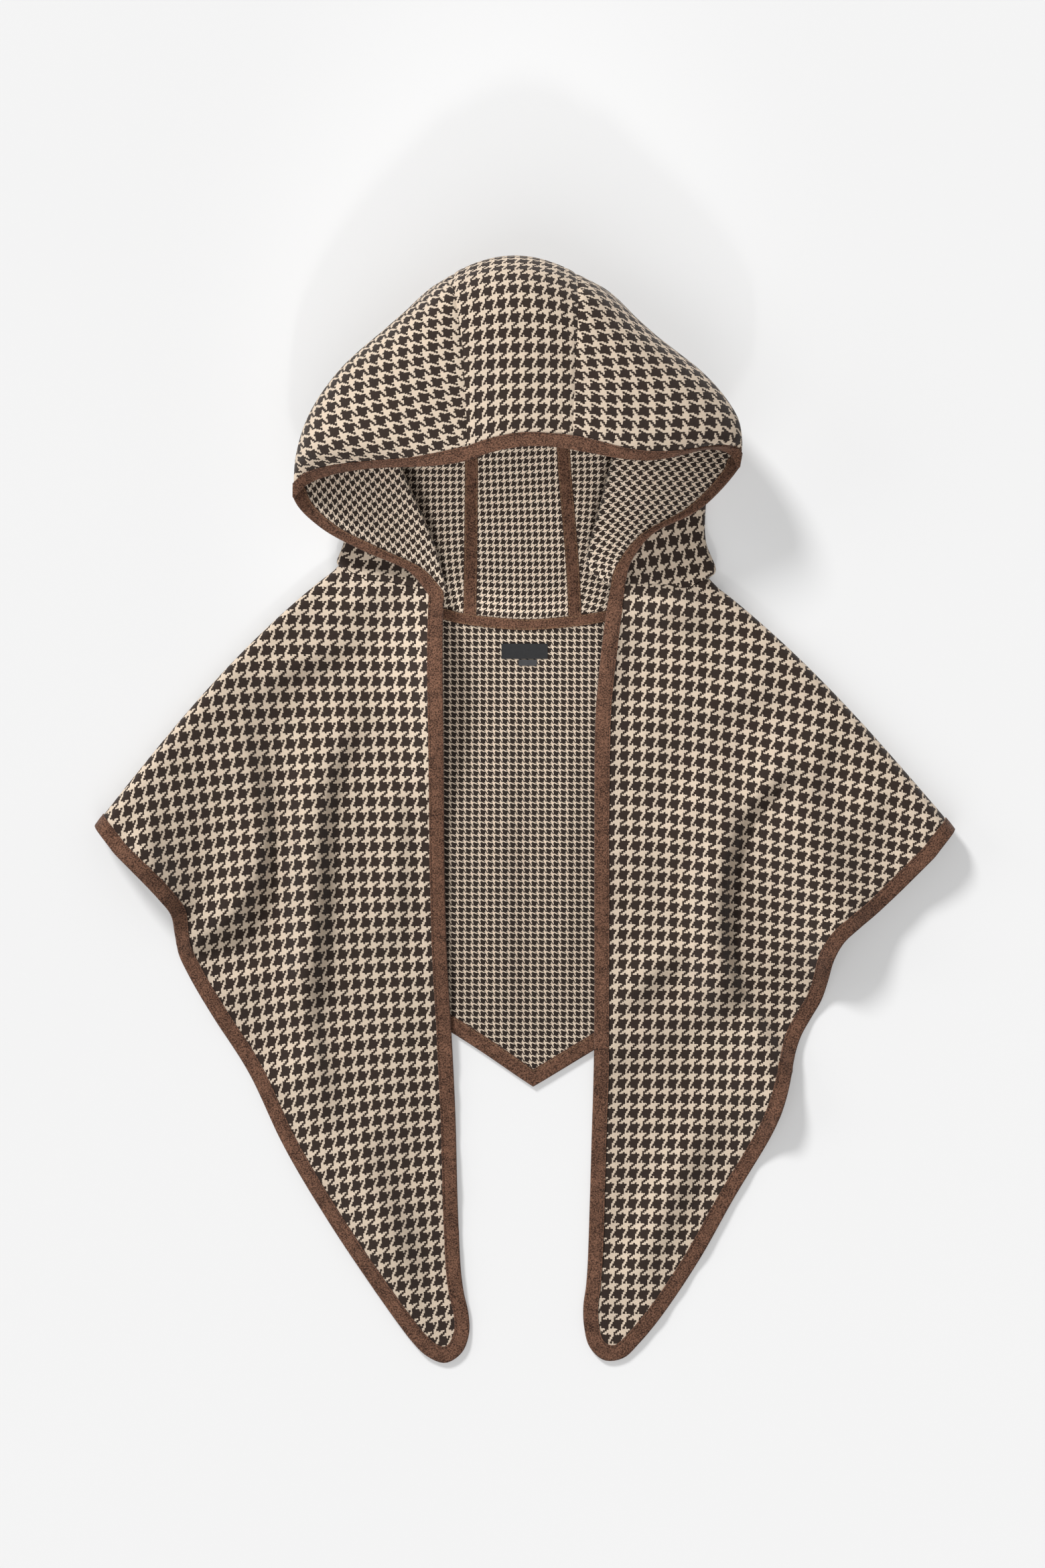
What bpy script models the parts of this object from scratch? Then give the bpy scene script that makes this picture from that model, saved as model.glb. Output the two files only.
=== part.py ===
"""Hooded cape of double-faced wool, laid flat on its back with its fronts uppermost.

Units are metres with +Z up. The origin is on the surface below the middle of the cape, +Y points to
the hood. Tables are in millimetres. Each sheet of cloth is worked out as a middle surface, and its
wall is that surface moved out and in by half the cloth's thickness.
"""
import bpy
import bmesh
import numpy as np
from mathutils import Vector
from mathutils.geometry import delaunay_2d_cdt

MM = 0.001

# Cloth and trimmings
WALL = 2.0 * MM
HALF = WALL / 2
SEAM_GAP = 0.3 * MM
BINDING_WIDTH = 11.0 * MM
BINDING_THICK = 0.8 * MM
TAPE_WIDTH = 11.0 * MM
NECK_TAPE_WIDTH = 9.0 * MM
TAPE_THICK = 0.7 * MM
TAPE_CLEARANCE = 0.5 * MM
LABEL_SIZE = (38.0 * MM, 12.5 * MM, 0.6 * MM)
LABEL_CENTRE = (0.0 * MM, 130.6 * MM)
TAB_SIZE = (15.0 * MM, 5.0 * MM, 0.5 * MM)
TAB_CENTRE = (2.7 * MM, 121.2 * MM)

# Seams: how far the hood stands off the neck curve in millimetres, how far each panel is drawn back
# from its seam, and the shares of a first and a last step at which the seam tapes end. The last one
# goes round the tape's profile, so that the end clears the folded binding.
SEAM_OFFSET = 0.48
SEAM_DRAW_BACK = 0.18
TAPE_START = 0.35
TAPE_END = (0.05, 0.12, 0.35, 0.35, 0.12, 0.05)
TAPE_SHARE_LIMIT = 0.9

# Bound edges: space between cloth and binding, share of the wall left where it is pressed, and how
# the lapel's corner is stepped and pressed.
EDGE_SPACE = 0.5 * MM
EDGE_COVER = EDGE_SPACE + BINDING_THICK
BINDING_RISE = SEAM_GAP + BINDING_THICK
EDGE_PRESS = 0.6
CORNER_STEP = 0.4 * MM
CORNER_PRESS = 0.5

# Heights of the flat layers' middle surfaces
REST_HEIGHT = HALF
OVER_BACK = 4.8 * MM
NECK_RISE = 2.2 * MM
NECK_RISE_FROM = 110.0
NECK_RISE_OVER = 60.0
DROP_START = 6.0
DROP_LENGTH = 34.0
RISE_FROM = 12.0
RISE_OVER = 18.0

# Mesh spacing of the solids in millimetres: lattice lines close to a shoulder fold and away from it,
# stations of the edge, and the least distances from the border and between two points.
CLOSE_LINES = [0.0, 4.5, 9.0, 14.0, 20.0, 30.0, 44.0]
BODY_SPACING = 20.0
LATTICE_REACH = 700.0
EDGE_SPACING = 17.0
BORDER_CLEAR = 9.0
POINT_CLEAR = 7.0

# Directions at creased places: every facet around must be seen at least this much, which is reached
# in small steps towards the facet that is seen least.
LEAST_LEAN = 0.6
BALANCE_ROUNDS = 60
BALANCE_STEP = 0.08

# How finely curves are sampled, and the small steps, in millimetres or rows, that slopes are read over
CURVE_SAMPLES = 24
BEZIER_SAMPLES = 60
LINE_SAMPLES = 50
NECK_SAMPLES = 2000
UNFOLD_ROUNDS = 8
SLOPE_STEP = 0.4
ROW_STEP = 0.01

# Shoulder folds: the neck end and the hem end of each, how far the fold bows out, and the radius of
# the roll at the neck, halfway and at the hem.
SHOULDERS = {
    "left": {"neck": (-158.0, 194.0), "hem": (-353.0, -15.0), "bow": 9.5, "roll": (5.5, 8.0, 11.5)},
    "right": {"neck": (159.0, 181.0), "hem": (353.0, -17.0), "bow": 7.5, "roll": (5.5, 8.5, 11.5)},
}
BOW_REACH = 55.0
BOW_SKEW = 0.8
ROLL_FADE = (46.0, 78.0)

# Finished outline of each front seen from above, from the neck down the front edge, round the tip
# and up the hem to the shoulder: x, y.
FRONT_OUTLINE = {
    "left": [
        (-66.5, 178.0), (-67.0, 120.0), (-66.3, 60.0), (-65.6, -40.0), (-63.5, -120.0),
        (-59.5, -190.0), (-56.6, -253.0), (-54.6, -330.0), (-51.5, -385.0), (-46.0, -413.0),
        (-46.5, -435.0), (-56.0, -450.0), (-68.5, -453.5), (-82.0, -446.5), (-98.0, -429.0),
        (-130.0, -384.0), (-165.0, -331.0), (-198.0, -275.0), (-226.0, -216.0), (-256.0, -169.0),
        (-276.0, -135.0), (-287.0, -109.0), (-287.0, -92.0), (-300.0, -73.0), (-318.0, -54.0),
        (-336.0, -36.0),
    ],
    "right": [
        (71.0, 186.0), (66.0, 156.0), (60.5, 108.0), (57.6, 60.0), (57.2, -66.0),
        (57.0, -190.0), (54.8, -275.0), (51.6, -375.0), (48.0, -411.0), (51.5, -436.0),
        (60.0, -448.5), (73.0, -452.4), (86.0, -445.5), (111.0, -417.0), (143.0, -369.5),
        (172.0, -318.0), (203.0, -266.0), (216.0, -232.0), (225.0, -190.0), (245.0, -153.0),
        (253.0, -125.0), (264.0, -106.0), (283.0, -90.0), (310.0, -65.0), (336.0, -39.0),
    ],
}

# Hem of the back seen from above, from the left shoulder to the right: x, y.
BACK_HEM = [
    (-318.0, -35.0), (-250.0, -73.0), (-150.0, -130.0), (-58.0, -183.5), (7.0, -227.0),
    (70.0, -189.0), (150.0, -142.0), (250.0, -82.0), (318.0, -41.0),
]
BACK_POINT_ROW = 4

# Neck seam seen from above, from the left front edge round the back neck to the right: x, y.
NECK_FRONT = {
    "left": [(-66.5, 178.0), (-88.0, 182.0), (-112.0, 187.0), (-136.0, 191.5)],
    "right": [(71.0, 186.0), (92.0, 185.5), (114.0, 185.0), (137.0, 183.5)],
}
NECK_BACK = [
    (-134.0, 183.0), (-100.0, 172.0), (-70.0, 162.5), (-45.0, 156.5), (0.0, 152.5),
    (41.5, 155.5), (75.0, 161.0), (105.0, 167.5), (134.0, 173.5),
]

# Long soft folds of the fronts: start x, y, end x, y, height at each end, half width.
FOLDS = {
    "left": [
        (-340.0, -30.0, -300.0, -72.0, 6.0, 17.0, 26.0),
        (-300.0, -66.0, -232.0, 30.0, 9.0, 3.0, 34.0),
        (-200.0, 40.0, -199.0, -118.0, -1.5, -4.0, 13.0),
        (-175.0, 20.0, -178.0, -125.0, 3.0, 4.5, 15.0),
        (-152.0, -10.0, -146.0, -135.0, -1.5, -2.0, 12.0),
        (-110.0, 60.0, -104.0, -210.0, 1.0, 2.0, 26.0),
        (-120.0, -300.0, -96.0, -392.0, 1.0, 2.0, 18.0),
    ],
    "right": [
        (263.0, -112.0, 212.0, 40.0, 33.0, 7.0, 33.0),
        (300.0, -74.0, 262.0, -20.0, 8.0, 4.0, 28.0),
        (216.0, -246.0, 158.0, -176.0, 21.0, 3.0, 28.0),
        (152.0, 40.0, 158.0, -130.0, 3.0, 8.0, 19.0),
        (178.0, 10.0, 178.0, -158.0, -7.0, -8.0, 12.0),
        (96.0, 90.0, 98.0, -250.0, 1.0, 2.0, 28.0),
        (128.0, -300.0, 92.0, -395.0, 1.5, 2.0, 20.0),
    ],
}
FOLD_END_FADE = 26.0
FOLD_CLEAR_OF_ROLL = 30.0

# The hood lies on its back with its mouth towards the viewer. Its sections run across, from the neck
# (row 0) to the closed end (last row). A section goes from the lip, which is the face edge up to
# FACE_ROW and the side of the crown above it, under the lip to the roll, back out to the fold at the
# side, and along the surface to the seam. Columns: x, y, z, and for roll and fold the radius.
HOOD_GUIDES = {
    "left": {
        "lip": [
            (-76.5, 176.0, 15.0), (-95.0, 197.0, 18.0), (-131.0, 213.0, 27.0), (-166.0, 232.0, 37.0),
            (-188.4, 257.0, 45.0), (-186.0, 292.0, 46.0), (-174.0, 327.0, 46.0),
            (-149.0, 362.0, 46.0), (-113.0, 394.0, 46.0), (-78.0, 424.0, 46.0),
        ],
        "roll": [
            (-64.3, 178.6, 11.9, 2.4), (-69.0, 198.0, 10.5, 3.0), (-76.0, 222.0, 13.0, 4.0),
            (-85.0, 243.0, 16.0, 4.5), (-96.0, 268.0, 19.0, 5.0), (-109.0, 300.0, 21.0, 5.5),
            (-122.0, 330.0, 22.0, 6.0), (-124.0, 362.0, 24.0, 6.0), (-104.0, 391.0, 27.0, 5.0),
            (-77.5, 422.5, 30.0, 1.5),
        ],
        "fold": [
            (-158.0, 195.0, 6.5, 5.5), (-153.0, 205.0, 6.5, 5.5), (-147.5, 220.0, 6.0, 5.0),
            (-146.0, 241.0, 6.0, 5.0), (-148.0, 266.0, 6.0, 5.0), (-150.0, 297.0, 6.5, 5.5),
            (-146.0, 330.0, 7.0, 6.0), (-134.0, 362.0, 7.5, 6.5), (-107.0, 392.0, 8.0, 7.0),
            (-77.0, 421.0, 8.0, 4.0),
        ],
        "seam_low": [
            (-45.0, 156.5, 1.0), (-44.6, 184.0, 1.0), (-44.2, 214.0, 1.0), (-43.9, 243.0, 1.0),
            (-43.6, 271.0, 1.0), (-43.6, 300.0, 1.0), (-44.5, 332.0, 1.0), (-46.0, 363.0, 1.0),
            (-48.0, 391.0, 1.0), (-50.0, 413.0, 1.6),
        ],
        "seam_top": [
            (-47.0, 286.5, 104.0), (-47.2, 312.0, 107.0), (-48.5, 340.0, 109.0), (-50.0, 368.0, 108.0),
            (-52.5, 393.0, 105.0), (-56.0, 415.0, 98.0),
        ],
        "face_edge": [
            (-47.0, 286.5, 104.0), (-66.0, 283.5, 99.5), (-87.0, 282.0, 93.0), (-113.0, 281.5, 84.0),
            (-138.0, 279.5, 74.0), (-161.0, 275.0, 62.5), (-179.0, 267.5, 52.0), (-188.4, 257.0, 45.0),
        ],
        "far_seam": [(-59.5, 430.0, 84.0), (-58.5, 437.5, 66.0), (-57.0, 439.0, 46.0),
                     (-54.5, 437.0, 26.0), (-52.0, 430.0, 9.0)],
    },
    "right": {
        "lip": [
            (81.0, 184.0, 13.6), (87.0, 205.0, 22.0), (106.0, 228.0, 34.0), (144.0, 248.0, 49.0),
            (174.8, 281.5, 58.5), (177.0, 303.0, 59.0), (171.0, 326.0, 57.0), (147.0, 356.0, 53.0),
            (106.0, 389.0, 49.0), (68.0, 423.0, 47.0),
        ],
        "roll": [
            (68.8, 186.6, 10.4, 2.4), (53.0, 200.0, 11.0, 3.0), (55.0, 222.0, 14.0, 4.0),
            (62.0, 247.0, 17.0, 4.5), (69.0, 276.0, 20.0, 5.0), (77.0, 303.0, 22.0, 5.5),
            (91.0, 330.0, 24.0, 6.0), (108.0, 358.0, 26.0, 6.0), (94.0, 389.0, 28.0, 5.0),
            (67.5, 421.5, 31.0, 1.5),
        ],
        "fold": [
            (159.0, 182.0, 6.5, 5.5), (156.0, 198.0, 6.5, 5.5), (148.0, 220.0, 6.0, 5.0),
            (147.5, 246.0, 6.0, 5.0), (151.0, 277.0, 6.0, 5.0), (154.0, 303.0, 6.5, 5.5),
            (149.0, 328.0, 7.0, 6.0), (133.0, 357.0, 7.5, 6.5), (102.0, 388.0, 8.0, 7.0),
            (67.0, 420.0, 8.0, 4.0),
        ],
        "seam_low": [
            (41.5, 155.5, 1.0), (40.3, 184.0, 1.0), (38.4, 214.0, 1.0), (35.8, 245.0, 1.0),
            (33.2, 275.0, 1.0), (31.6, 303.0, 1.0), (32.2, 332.0, 1.0), (34.4, 361.0, 1.0),
            (37.0, 391.0, 1.0), (38.8, 413.0, 1.6),
        ],
        "seam_top": [
            (39.5, 295.5, 105.0), (39.8, 317.0, 108.0), (40.8, 343.0, 110.0), (42.0, 369.0, 109.0),
            (43.3, 394.0, 106.0), (43.8, 416.0, 98.5),
        ],
        "face_edge": [
            (39.5, 295.5, 105.0), (57.0, 292.5, 103.0), (78.0, 288.5, 99.5), (103.0, 287.0, 93.5),
            (127.0, 291.5, 85.5), (149.0, 296.5, 77.0), (167.0, 293.5, 67.0), (174.8, 281.5, 58.5),
        ],
        "far_seam": [(43.4, 431.0, 84.5), (42.5, 437.8, 66.0), (41.0, 439.0, 46.0),
                     (40.0, 437.0, 26.0), (39.4, 430.0, 9.0)],
    },
}
FACE_ROW = 4
LAST_ROW = 10
CROWN_FULLNESS = 0.9
LIP_DROP = 9.0
LIP_RISE = 8.0

# Segments across a hood section, region by region, and the rows that the solids use.
SEGMENTS = {"crown": 8, "lapel": 3, "roll": 4, "middle": 3, "fold": 4, "bottom": 4}
HOOD_ROWS = (0.0, 0.6, 1.2, 1.9, 2.6, 3.3, 4.0, 4.36, 5.0, 5.8, 6.6, 7.4, 8.2, 9.0, 9.6, 10.0)
CENTRE_SEGMENTS = 5
SIDES = ("left", "right")
SIGN = {"left": -1.0, "right": 1.0}

# Swell of the hood's centre strip halfway across: y, z, by place along its length from the neck.
CENTRE_SWELL = [(-3.0, 0.0), (0.0, 0.0), (0.0, 0.0), (6.0, 0.0), (15.0, 0.0), (10.0, 7.0), (2.0, 6.0),
                (7.0, 3.0)]

# Base colour of each finish, and the roughness of all of them
COLOURS = {
    "wool": (0.26, 0.20, 0.155),
    "suede": (0.115, 0.055, 0.034),
    "label": (0.012, 0.012, 0.013),
    "tab": (0.03, 0.03, 0.032),
}
ROUGHNESS = 0.9


def smooth_rows(rows, at):
    """Catmull-Rom curve through equal steps of a table's rows, at fractional row numbers."""
    rows = np.asarray(rows, float)
    at = np.atleast_1d(np.asarray(at, float))
    padded = np.concatenate([[2 * rows[0] - rows[1]], rows, [2 * rows[-1] - rows[-2]]])
    low = np.clip(np.floor(at).astype(int), 0, len(rows) - 2)
    t = (at - low)[(...,) + (None,) * (rows.ndim - 1)]
    before, start, end, after = (padded[low + shift] for shift in range(4))
    return 0.5 * (2 * start + (end - before) * t
                  + (2 * before - 5 * start + 4 * end - after) * t ** 2
                  + (3 * start - before - 3 * end + after) * t ** 3)


def even_points(rows, spacing):
    """Points about a spacing apart along the smooth curve through a table's rows."""
    dense = smooth_rows(rows, np.linspace(0, len(rows) - 1, CURVE_SAMPLES * len(rows)))
    run = np.concatenate([[0], np.cumsum(np.linalg.norm(np.diff(dense, axis=0), axis=1))])
    steps = max(2, int(round(run[-1] / spacing)))
    at = np.linspace(0, run[-1], steps + 1)
    return np.stack([np.interp(at, run, column) for column in dense.T], axis=1)


def ease(value):
    """Smooth step from 0 to 1."""
    value = np.clip(value, 0, 1)
    return value * value * (3 - 2 * value)


class Shoulder:
    """One shoulder fold: it turns the unfolded cloth over from the back to the front."""

    def __init__(self, side):
        """Take the measures of one side; out points away from the cape, square to the fold."""
        table = SHOULDERS[side]
        self.neck = np.array(table["neck"])
        run = np.array(table["hem"]) - self.neck
        self.length = np.linalg.norm(run)
        self.along = run / self.length
        self.out = np.array([-self.along[1], self.along[0]])
        if self.out[0] * SIGN[side] < 0:
            self.out = -self.out
        self.bow_size = table["bow"]
        self.roll = table["roll"]

    def radius(self, along):
        """Radius of the roll at a distance from the neck."""
        return smooth_rows(np.array(self.roll)[:, None], np.clip(along / self.length, 0, 1) * 2)[..., 0]

    def bow(self, along, inward):
        """How far the fold stands out from its straight line."""
        share = np.clip(along / self.length, 0, 1) ** BOW_SKEW
        return self.bow_size * np.sin(np.pi * share) * np.exp(-(inward / BOW_REACH) ** 2)

    def unfold(self, plan, front):
        """Flat-pattern place of a point seen from above, on the front or on the back."""
        plan = np.atleast_2d(plan)
        away = plan - self.neck
        along = away @ self.along
        seen = -(away @ self.out)
        inward = seen.copy()
        for _ in range(UNFOLD_ROUNDS):
            inward = seen + self.bow(along, inward)
        extra = (np.pi - 2) * self.radius(along)
        out = inward + extra if front else -inward
        return self.neck + along[:, None] * self.along + out[:, None] * self.out

    def fold_distance(self, flat):
        """Distance in the cloth from the outermost line of the roll, positive on the front."""
        away = np.atleast_2d(flat) - self.neck
        along = away @ self.along
        return along, away @ self.out - (np.pi / 2 - 1) * self.radius(along)


SHOULDER = {side: Shoulder(side) for side in SIDES}


def fold_height(side, plan):
    """Sum of the soft folds of one front at points seen from above."""
    total = np.zeros(len(plan))
    for x0, y0, x1, y1, h0, h1, width in FOLDS[side]:
        start = np.array((x0, y0))
        run = np.array((x1, y1)) - start
        length = np.linalg.norm(run)
        away = plan - start
        along = away @ run / length
        across = (away[:, 0] * run[1] - away[:, 1] * run[0]) / length
        beyond = np.maximum(-along, 0) + np.maximum(along - length, 0)
        height = h0 + (h1 - h0) * np.clip(along / length, 0, 1)
        total += height * np.exp(-(across / width) ** 2 - (beyond / FOLD_END_FADE) ** 2)
    return total


def below_back_hem(plan):
    """How far points lie below the hem of the back, negative above it."""
    hem = np.array(BACK_HEM)
    return np.interp(plan[:, 0], hem[:, 0], hem[:, 1]) - plan[:, 1]


def body_point(flat, edge_distance):
    """Places in metres of the body's middle surface, from flat-pattern places in millimetres."""
    flat = np.atleast_2d(np.asarray(flat, float))
    rest = REST_HEIGHT / MM
    rise = BINDING_RISE / MM * (1 - ease((np.asarray(edge_distance) - RISE_FROM) / RISE_OVER))
    result = np.zeros((len(flat), 3))
    for side in SIDES:
        mine = flat[:, 0] >= 0 if side == "right" else flat[:, 0] < 0
        fold = SHOULDER[side]
        along, cloth = fold.fold_distance(flat)
        radius = fold.radius(along)
        quarter = np.pi / 2 * radius
        turn = np.clip(cloth / radius, -np.pi / 2, np.pi / 2)
        inward = radius * (1 - np.cos(turn)) + np.maximum(np.abs(cloth) - quarter, 0)
        plan = (fold.neck + along[:, None] * fold.along
                - (inward - fold.bow(along, inward))[:, None] * fold.out)
        past = np.maximum(cloth - quarter, 0)
        reach = ROLL_FADE[0] + (ROLL_FADE[1] - ROLL_FADE[0]) * np.clip(along / fold.length, 0, 1)
        base = OVER_BACK / MM * (1 - ease((below_back_hem(plan) - DROP_START) / DROP_LENGTH))
        near_neck = NECK_RISE / MM * ease((plan[:, 1] - NECK_RISE_FROM) / NECK_RISE_OVER)
        loop = np.maximum(2 * radius - base - near_neck, 0) * (1 - ease(past / reach))
        folds = fold_height(side, plan) * ease(past / FOLD_CLEAR_OF_ROLL)
        spare = base + near_neck + loop + rise
        front = rest + np.maximum(spare + folds, np.minimum(spare, base + rise))
        rolled = rest + radius * (1 + np.sin(turn))
        height = np.where(cloth > quarter, front, rolled)
        height = np.where(cloth < -quarter, rest + rise, height)
        height = np.where(np.abs(cloth) <= quarter, height + rise * np.sin(turn) ** 2, height)
        place = np.column_stack([plan, height])
        result[mine] = place[mine]
    return result * MM


def distance_to_line(points, line):
    """Shortest distance from each point to a polyline."""
    start, run = line[:-1], np.diff(line, axis=0)
    away = points[:, None, :] - start[None]
    share = np.clip((away * run).sum(-1) / (run * run).sum(-1), 0, 1)
    gap = away - share[..., None] * run
    return np.sqrt((gap ** 2).sum(-1)).min(axis=1)


def inset(line, amount):
    """A polyline moved to its left by an amount, mitred at its corners."""
    step = np.diff(line, axis=0)
    step /= np.linalg.norm(step, axis=1)[:, None]
    left = np.column_stack([-step[:, 1], step[:, 0]])
    before = np.concatenate([left[:1], left])
    after = np.concatenate([left, left[-1:]])
    middle = before + after
    middle /= np.linalg.norm(middle, axis=1)[:, None]
    scale = 1 / np.maximum((middle * after).sum(1), 0.5)
    return line + middle * (amount * scale)[:, None]


def bound_edge(spacing):
    """Flat-pattern line of the finished edge: left front, hem and right front, neck to neck."""
    front = {side: even_points(FRONT_OUTLINE[side], spacing) for side in SIDES}
    left = SHOULDER["left"].unfold(front["left"], True)
    right = SHOULDER["right"].unfold(front["right"], True)
    back_left = SHOULDER["left"].unfold(even_points(BACK_HEM[:BACK_POINT_ROW + 1], spacing), False)
    back_right = SHOULDER["right"].unfold(even_points(BACK_HEM[BACK_POINT_ROW:], spacing), False)
    turns = []
    for start, end in ((left[-1], back_left[0]), (back_right[-1], right[-1])):
        steps = int(round(np.linalg.norm(end - start) / (spacing / 2)))
        turns.append(np.linspace(start, end, steps + 1)[1:-1])
    return np.concatenate([left, turns[0], back_left, back_right[1:], turns[1], right[::-1]])


def neck_line():
    """Flat-pattern curve of the neck seam and the curve parameter of its named places."""
    rows = np.concatenate([
        SHOULDER["left"].unfold(NECK_FRONT["left"], True), NECK_BACK,
        SHOULDER["right"].unfold(NECK_FRONT["right"], True)[::-1]])
    first_back = len(NECK_FRONT["left"])
    at = np.linspace(0, len(rows) - 1, NECK_SAMPLES)
    dense = smooth_rows(rows, at)
    seams = {side: first_back + [row[0] for row in NECK_BACK].index(HOOD_GUIDES[side]["seam_low"][0][0])
             for side in SIDES}
    places = {}
    for side in SIDES:
        half = dense[:, 0] * SIGN[side] > 0
        along, cloth = SHOULDER[side].fold_distance(dense[half])
        quarter = np.pi / 2 * SHOULDER[side].radius(along)
        order = np.argsort(cloth / quarter)
        turns = np.linspace(1, -1, SEGMENTS["fold"] + 1)
        fold = np.interp(turns, (cloth / quarter)[order], at[half][order])
        end = 0 if side == "left" else len(rows) - 1
        middle = np.linspace(end, fold[0], SEGMENTS["middle"] + 1)
        bottom = np.linspace(fold[-1], seams[side], SEGMENTS["bottom"] + 1)
        places[side] = np.concatenate([middle[:-1], fold, bottom[1:]])
    places["centre"] = np.linspace(seams["left"], seams["right"], CENTRE_SEGMENTS + 1)
    return rows, places


def moved_off(rows, at):
    """Points of the neck curve moved away from the body by the seam's offset."""
    run = smooth_rows(rows, at + ROW_STEP) - smooth_rows(rows, at - ROW_STEP)
    run /= np.linalg.norm(run, axis=1)[:, None]
    return smooth_rows(rows, at) + np.column_stack([-run[:, 1], run[:, 0]]) * SEAM_OFFSET


class Sheet:
    """A middle surface: points, outward normals and faces, ready to be given its thickness."""

    def __init__(self, points, normals, faces):
        """Take points in metres, their outward normals and the faces between them."""
        self.points = points
        self.normals = normals
        self.faces = faces

    def solid(self, name, finish):
        """Closed wall of cloth around the middle surface."""
        count = len(self.points)
        self.faces = [part for face in self.faces for part in halves(face, self.points)]
        corners = self.points[[face[:3] for face in self.faces]]
        facing = np.cross(corners[:, 1] - corners[:, 0], corners[:, 2] - corners[:, 0])
        if (facing * self.normals[[face[0] for face in self.faces]]).sum() < 0:
            self.faces = [tuple(reversed(face)) for face in self.faces]
        vertices = np.concatenate([self.points + self.normals * HALF, self.points - self.normals * HALF])
        vertices[:, 2] = np.maximum(vertices[:, 2], 0)
        faces = [tuple(face) for face in self.faces]
        faces += [tuple(index + count for index in reversed(face)) for face in self.faces]
        single = {}
        for face in self.faces:
            for start, end in zip(face, list(face[1:]) + [face[0]]):
                if (end, start) in single:
                    del single[(end, start)]
                else:
                    single[(start, end)] = True
        faces += [(end, start, start + count, end + count) for start, end in single]
        return make_object(name, vertices, faces, finish)


def faces_around(points, faces):
    """For every point, the area-weighted normals of the facets around it."""
    around = [[] for _ in points]
    for face in faces:
        for a, b, c in halves(face, points):
            facet = np.cross(points[b] - points[a], points[c] - points[a])
            for index in (a, b, c):
                around[index].append(facet)
    return around


def balanced(facets):
    """Direction that looks towards every one of some facets, starting from their mean."""
    facets = np.array(facets)
    unit = facets / np.linalg.norm(facets, axis=1)[:, None]
    normal = unit.sum(0) / np.linalg.norm(unit.sum(0))
    for _ in range(BALANCE_ROUNDS):
        lean = unit @ normal
        if lean.min() >= LEAST_LEAN:
            break
        normal = normal + unit[lean.argmin()] * BALANCE_STEP
        normal /= np.linalg.norm(normal)
    return normal


def surface_normals(points, faces, facing):
    """Normals at the points of a faceted surface, on the side that another set of normals faces."""
    normals = np.array([balanced(facets) for facets in faces_around(points, faces)])
    return normals if (normals * facing).sum() > 0 else -normals


def halves(face, points):
    """A quad split along its shorter diagonal; a triangle as it is."""
    if len(face) == 3:
        return [tuple(face)]
    a, b, c, d = face
    one = np.linalg.norm(points[c] - points[a])
    other = np.linalg.norm(points[d] - points[b])
    if one <= other + 1e-9:
        return [(a, b, c), (a, c, d)]
    return [(a, b, d), (b, c, d)]


def make_object(name, vertices, faces, finish):
    """Mesh object with its material, with unused points dropped."""
    used = sorted({index for face in faces for index in face})
    renumber = {old: new for new, old in enumerate(used)}
    mesh = bpy.data.meshes.new(name)
    mesh.from_pydata([tuple(vertices[index]) for index in used], [],
                     [tuple(renumber[index] for index in face) for face in faces])
    mesh.update()
    built = bpy.data.objects.new(name, mesh)
    bpy.context.collection.objects.link(built)
    mesh.materials.append(material(finish))
    return built


def material(finish):
    """Principled material of one finish."""
    found = bpy.data.materials.get(finish)
    if found:
        return found
    made = bpy.data.materials.new(finish)
    made.use_nodes = True
    shader = made.node_tree.nodes["Principled BSDF"]
    shader.inputs["Base Color"].default_value = (*COLOURS[finish], 1.0)
    shader.inputs["Roughness"].default_value = ROUGHNESS
    shader.inputs["Metallic"].default_value = 0.0
    return made


def swept(name, profiles, finish, guide=None):
    """Closed body through a row of profiles with the same number of points, capped at its ends."""
    profiles = np.asarray(profiles)
    stations, around = profiles.shape[:2]
    guide = profiles.reshape(-1, 3) if guide is None else np.asarray(guide).reshape(-1, 3)
    faces = []
    for station in range(stations - 1):
        for corner in range(around):
            following = (corner + 1) % around
            low, high = station * around, (station + 1) * around
            faces += halves((low + corner, low + following, high + following, high + corner), guide)
    faces.append(tuple(range(around))[::-1])
    faces.append(tuple((stations - 1) * around + corner for corner in range(around)))
    built = make_object(name, profiles.reshape(-1, 3), faces, finish)
    return outward(built)


def outward(built):
    """Turn an object's faces outwards."""
    work = bmesh.new()
    work.from_mesh(built.data)
    bmesh.ops.recalc_face_normals(work, faces=work.faces)
    work.to_mesh(built.data)
    work.free()
    return built


def lattice_points():
    """Crossings of lines that run along both shoulder folds, close at the rolls and wider away."""
    ahead = CLOSE_LINES + list(np.arange(CLOSE_LINES[-1] + BODY_SPACING, LATTICE_REACH, BODY_SPACING))
    offsets = sorted({-step for step in ahead} | set(ahead))
    left, right = SHOULDER["left"], SHOULDER["right"]
    matrix = np.array([left.out, right.out])
    starts = [fold.neck @ fold.out + (np.pi / 2 - 1) * fold.roll[1] for fold in (left, right)]
    return np.array([np.linalg.solve(matrix, (one + starts[0], other + starts[1]))
                     for one in offsets for other in offsets])


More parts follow.
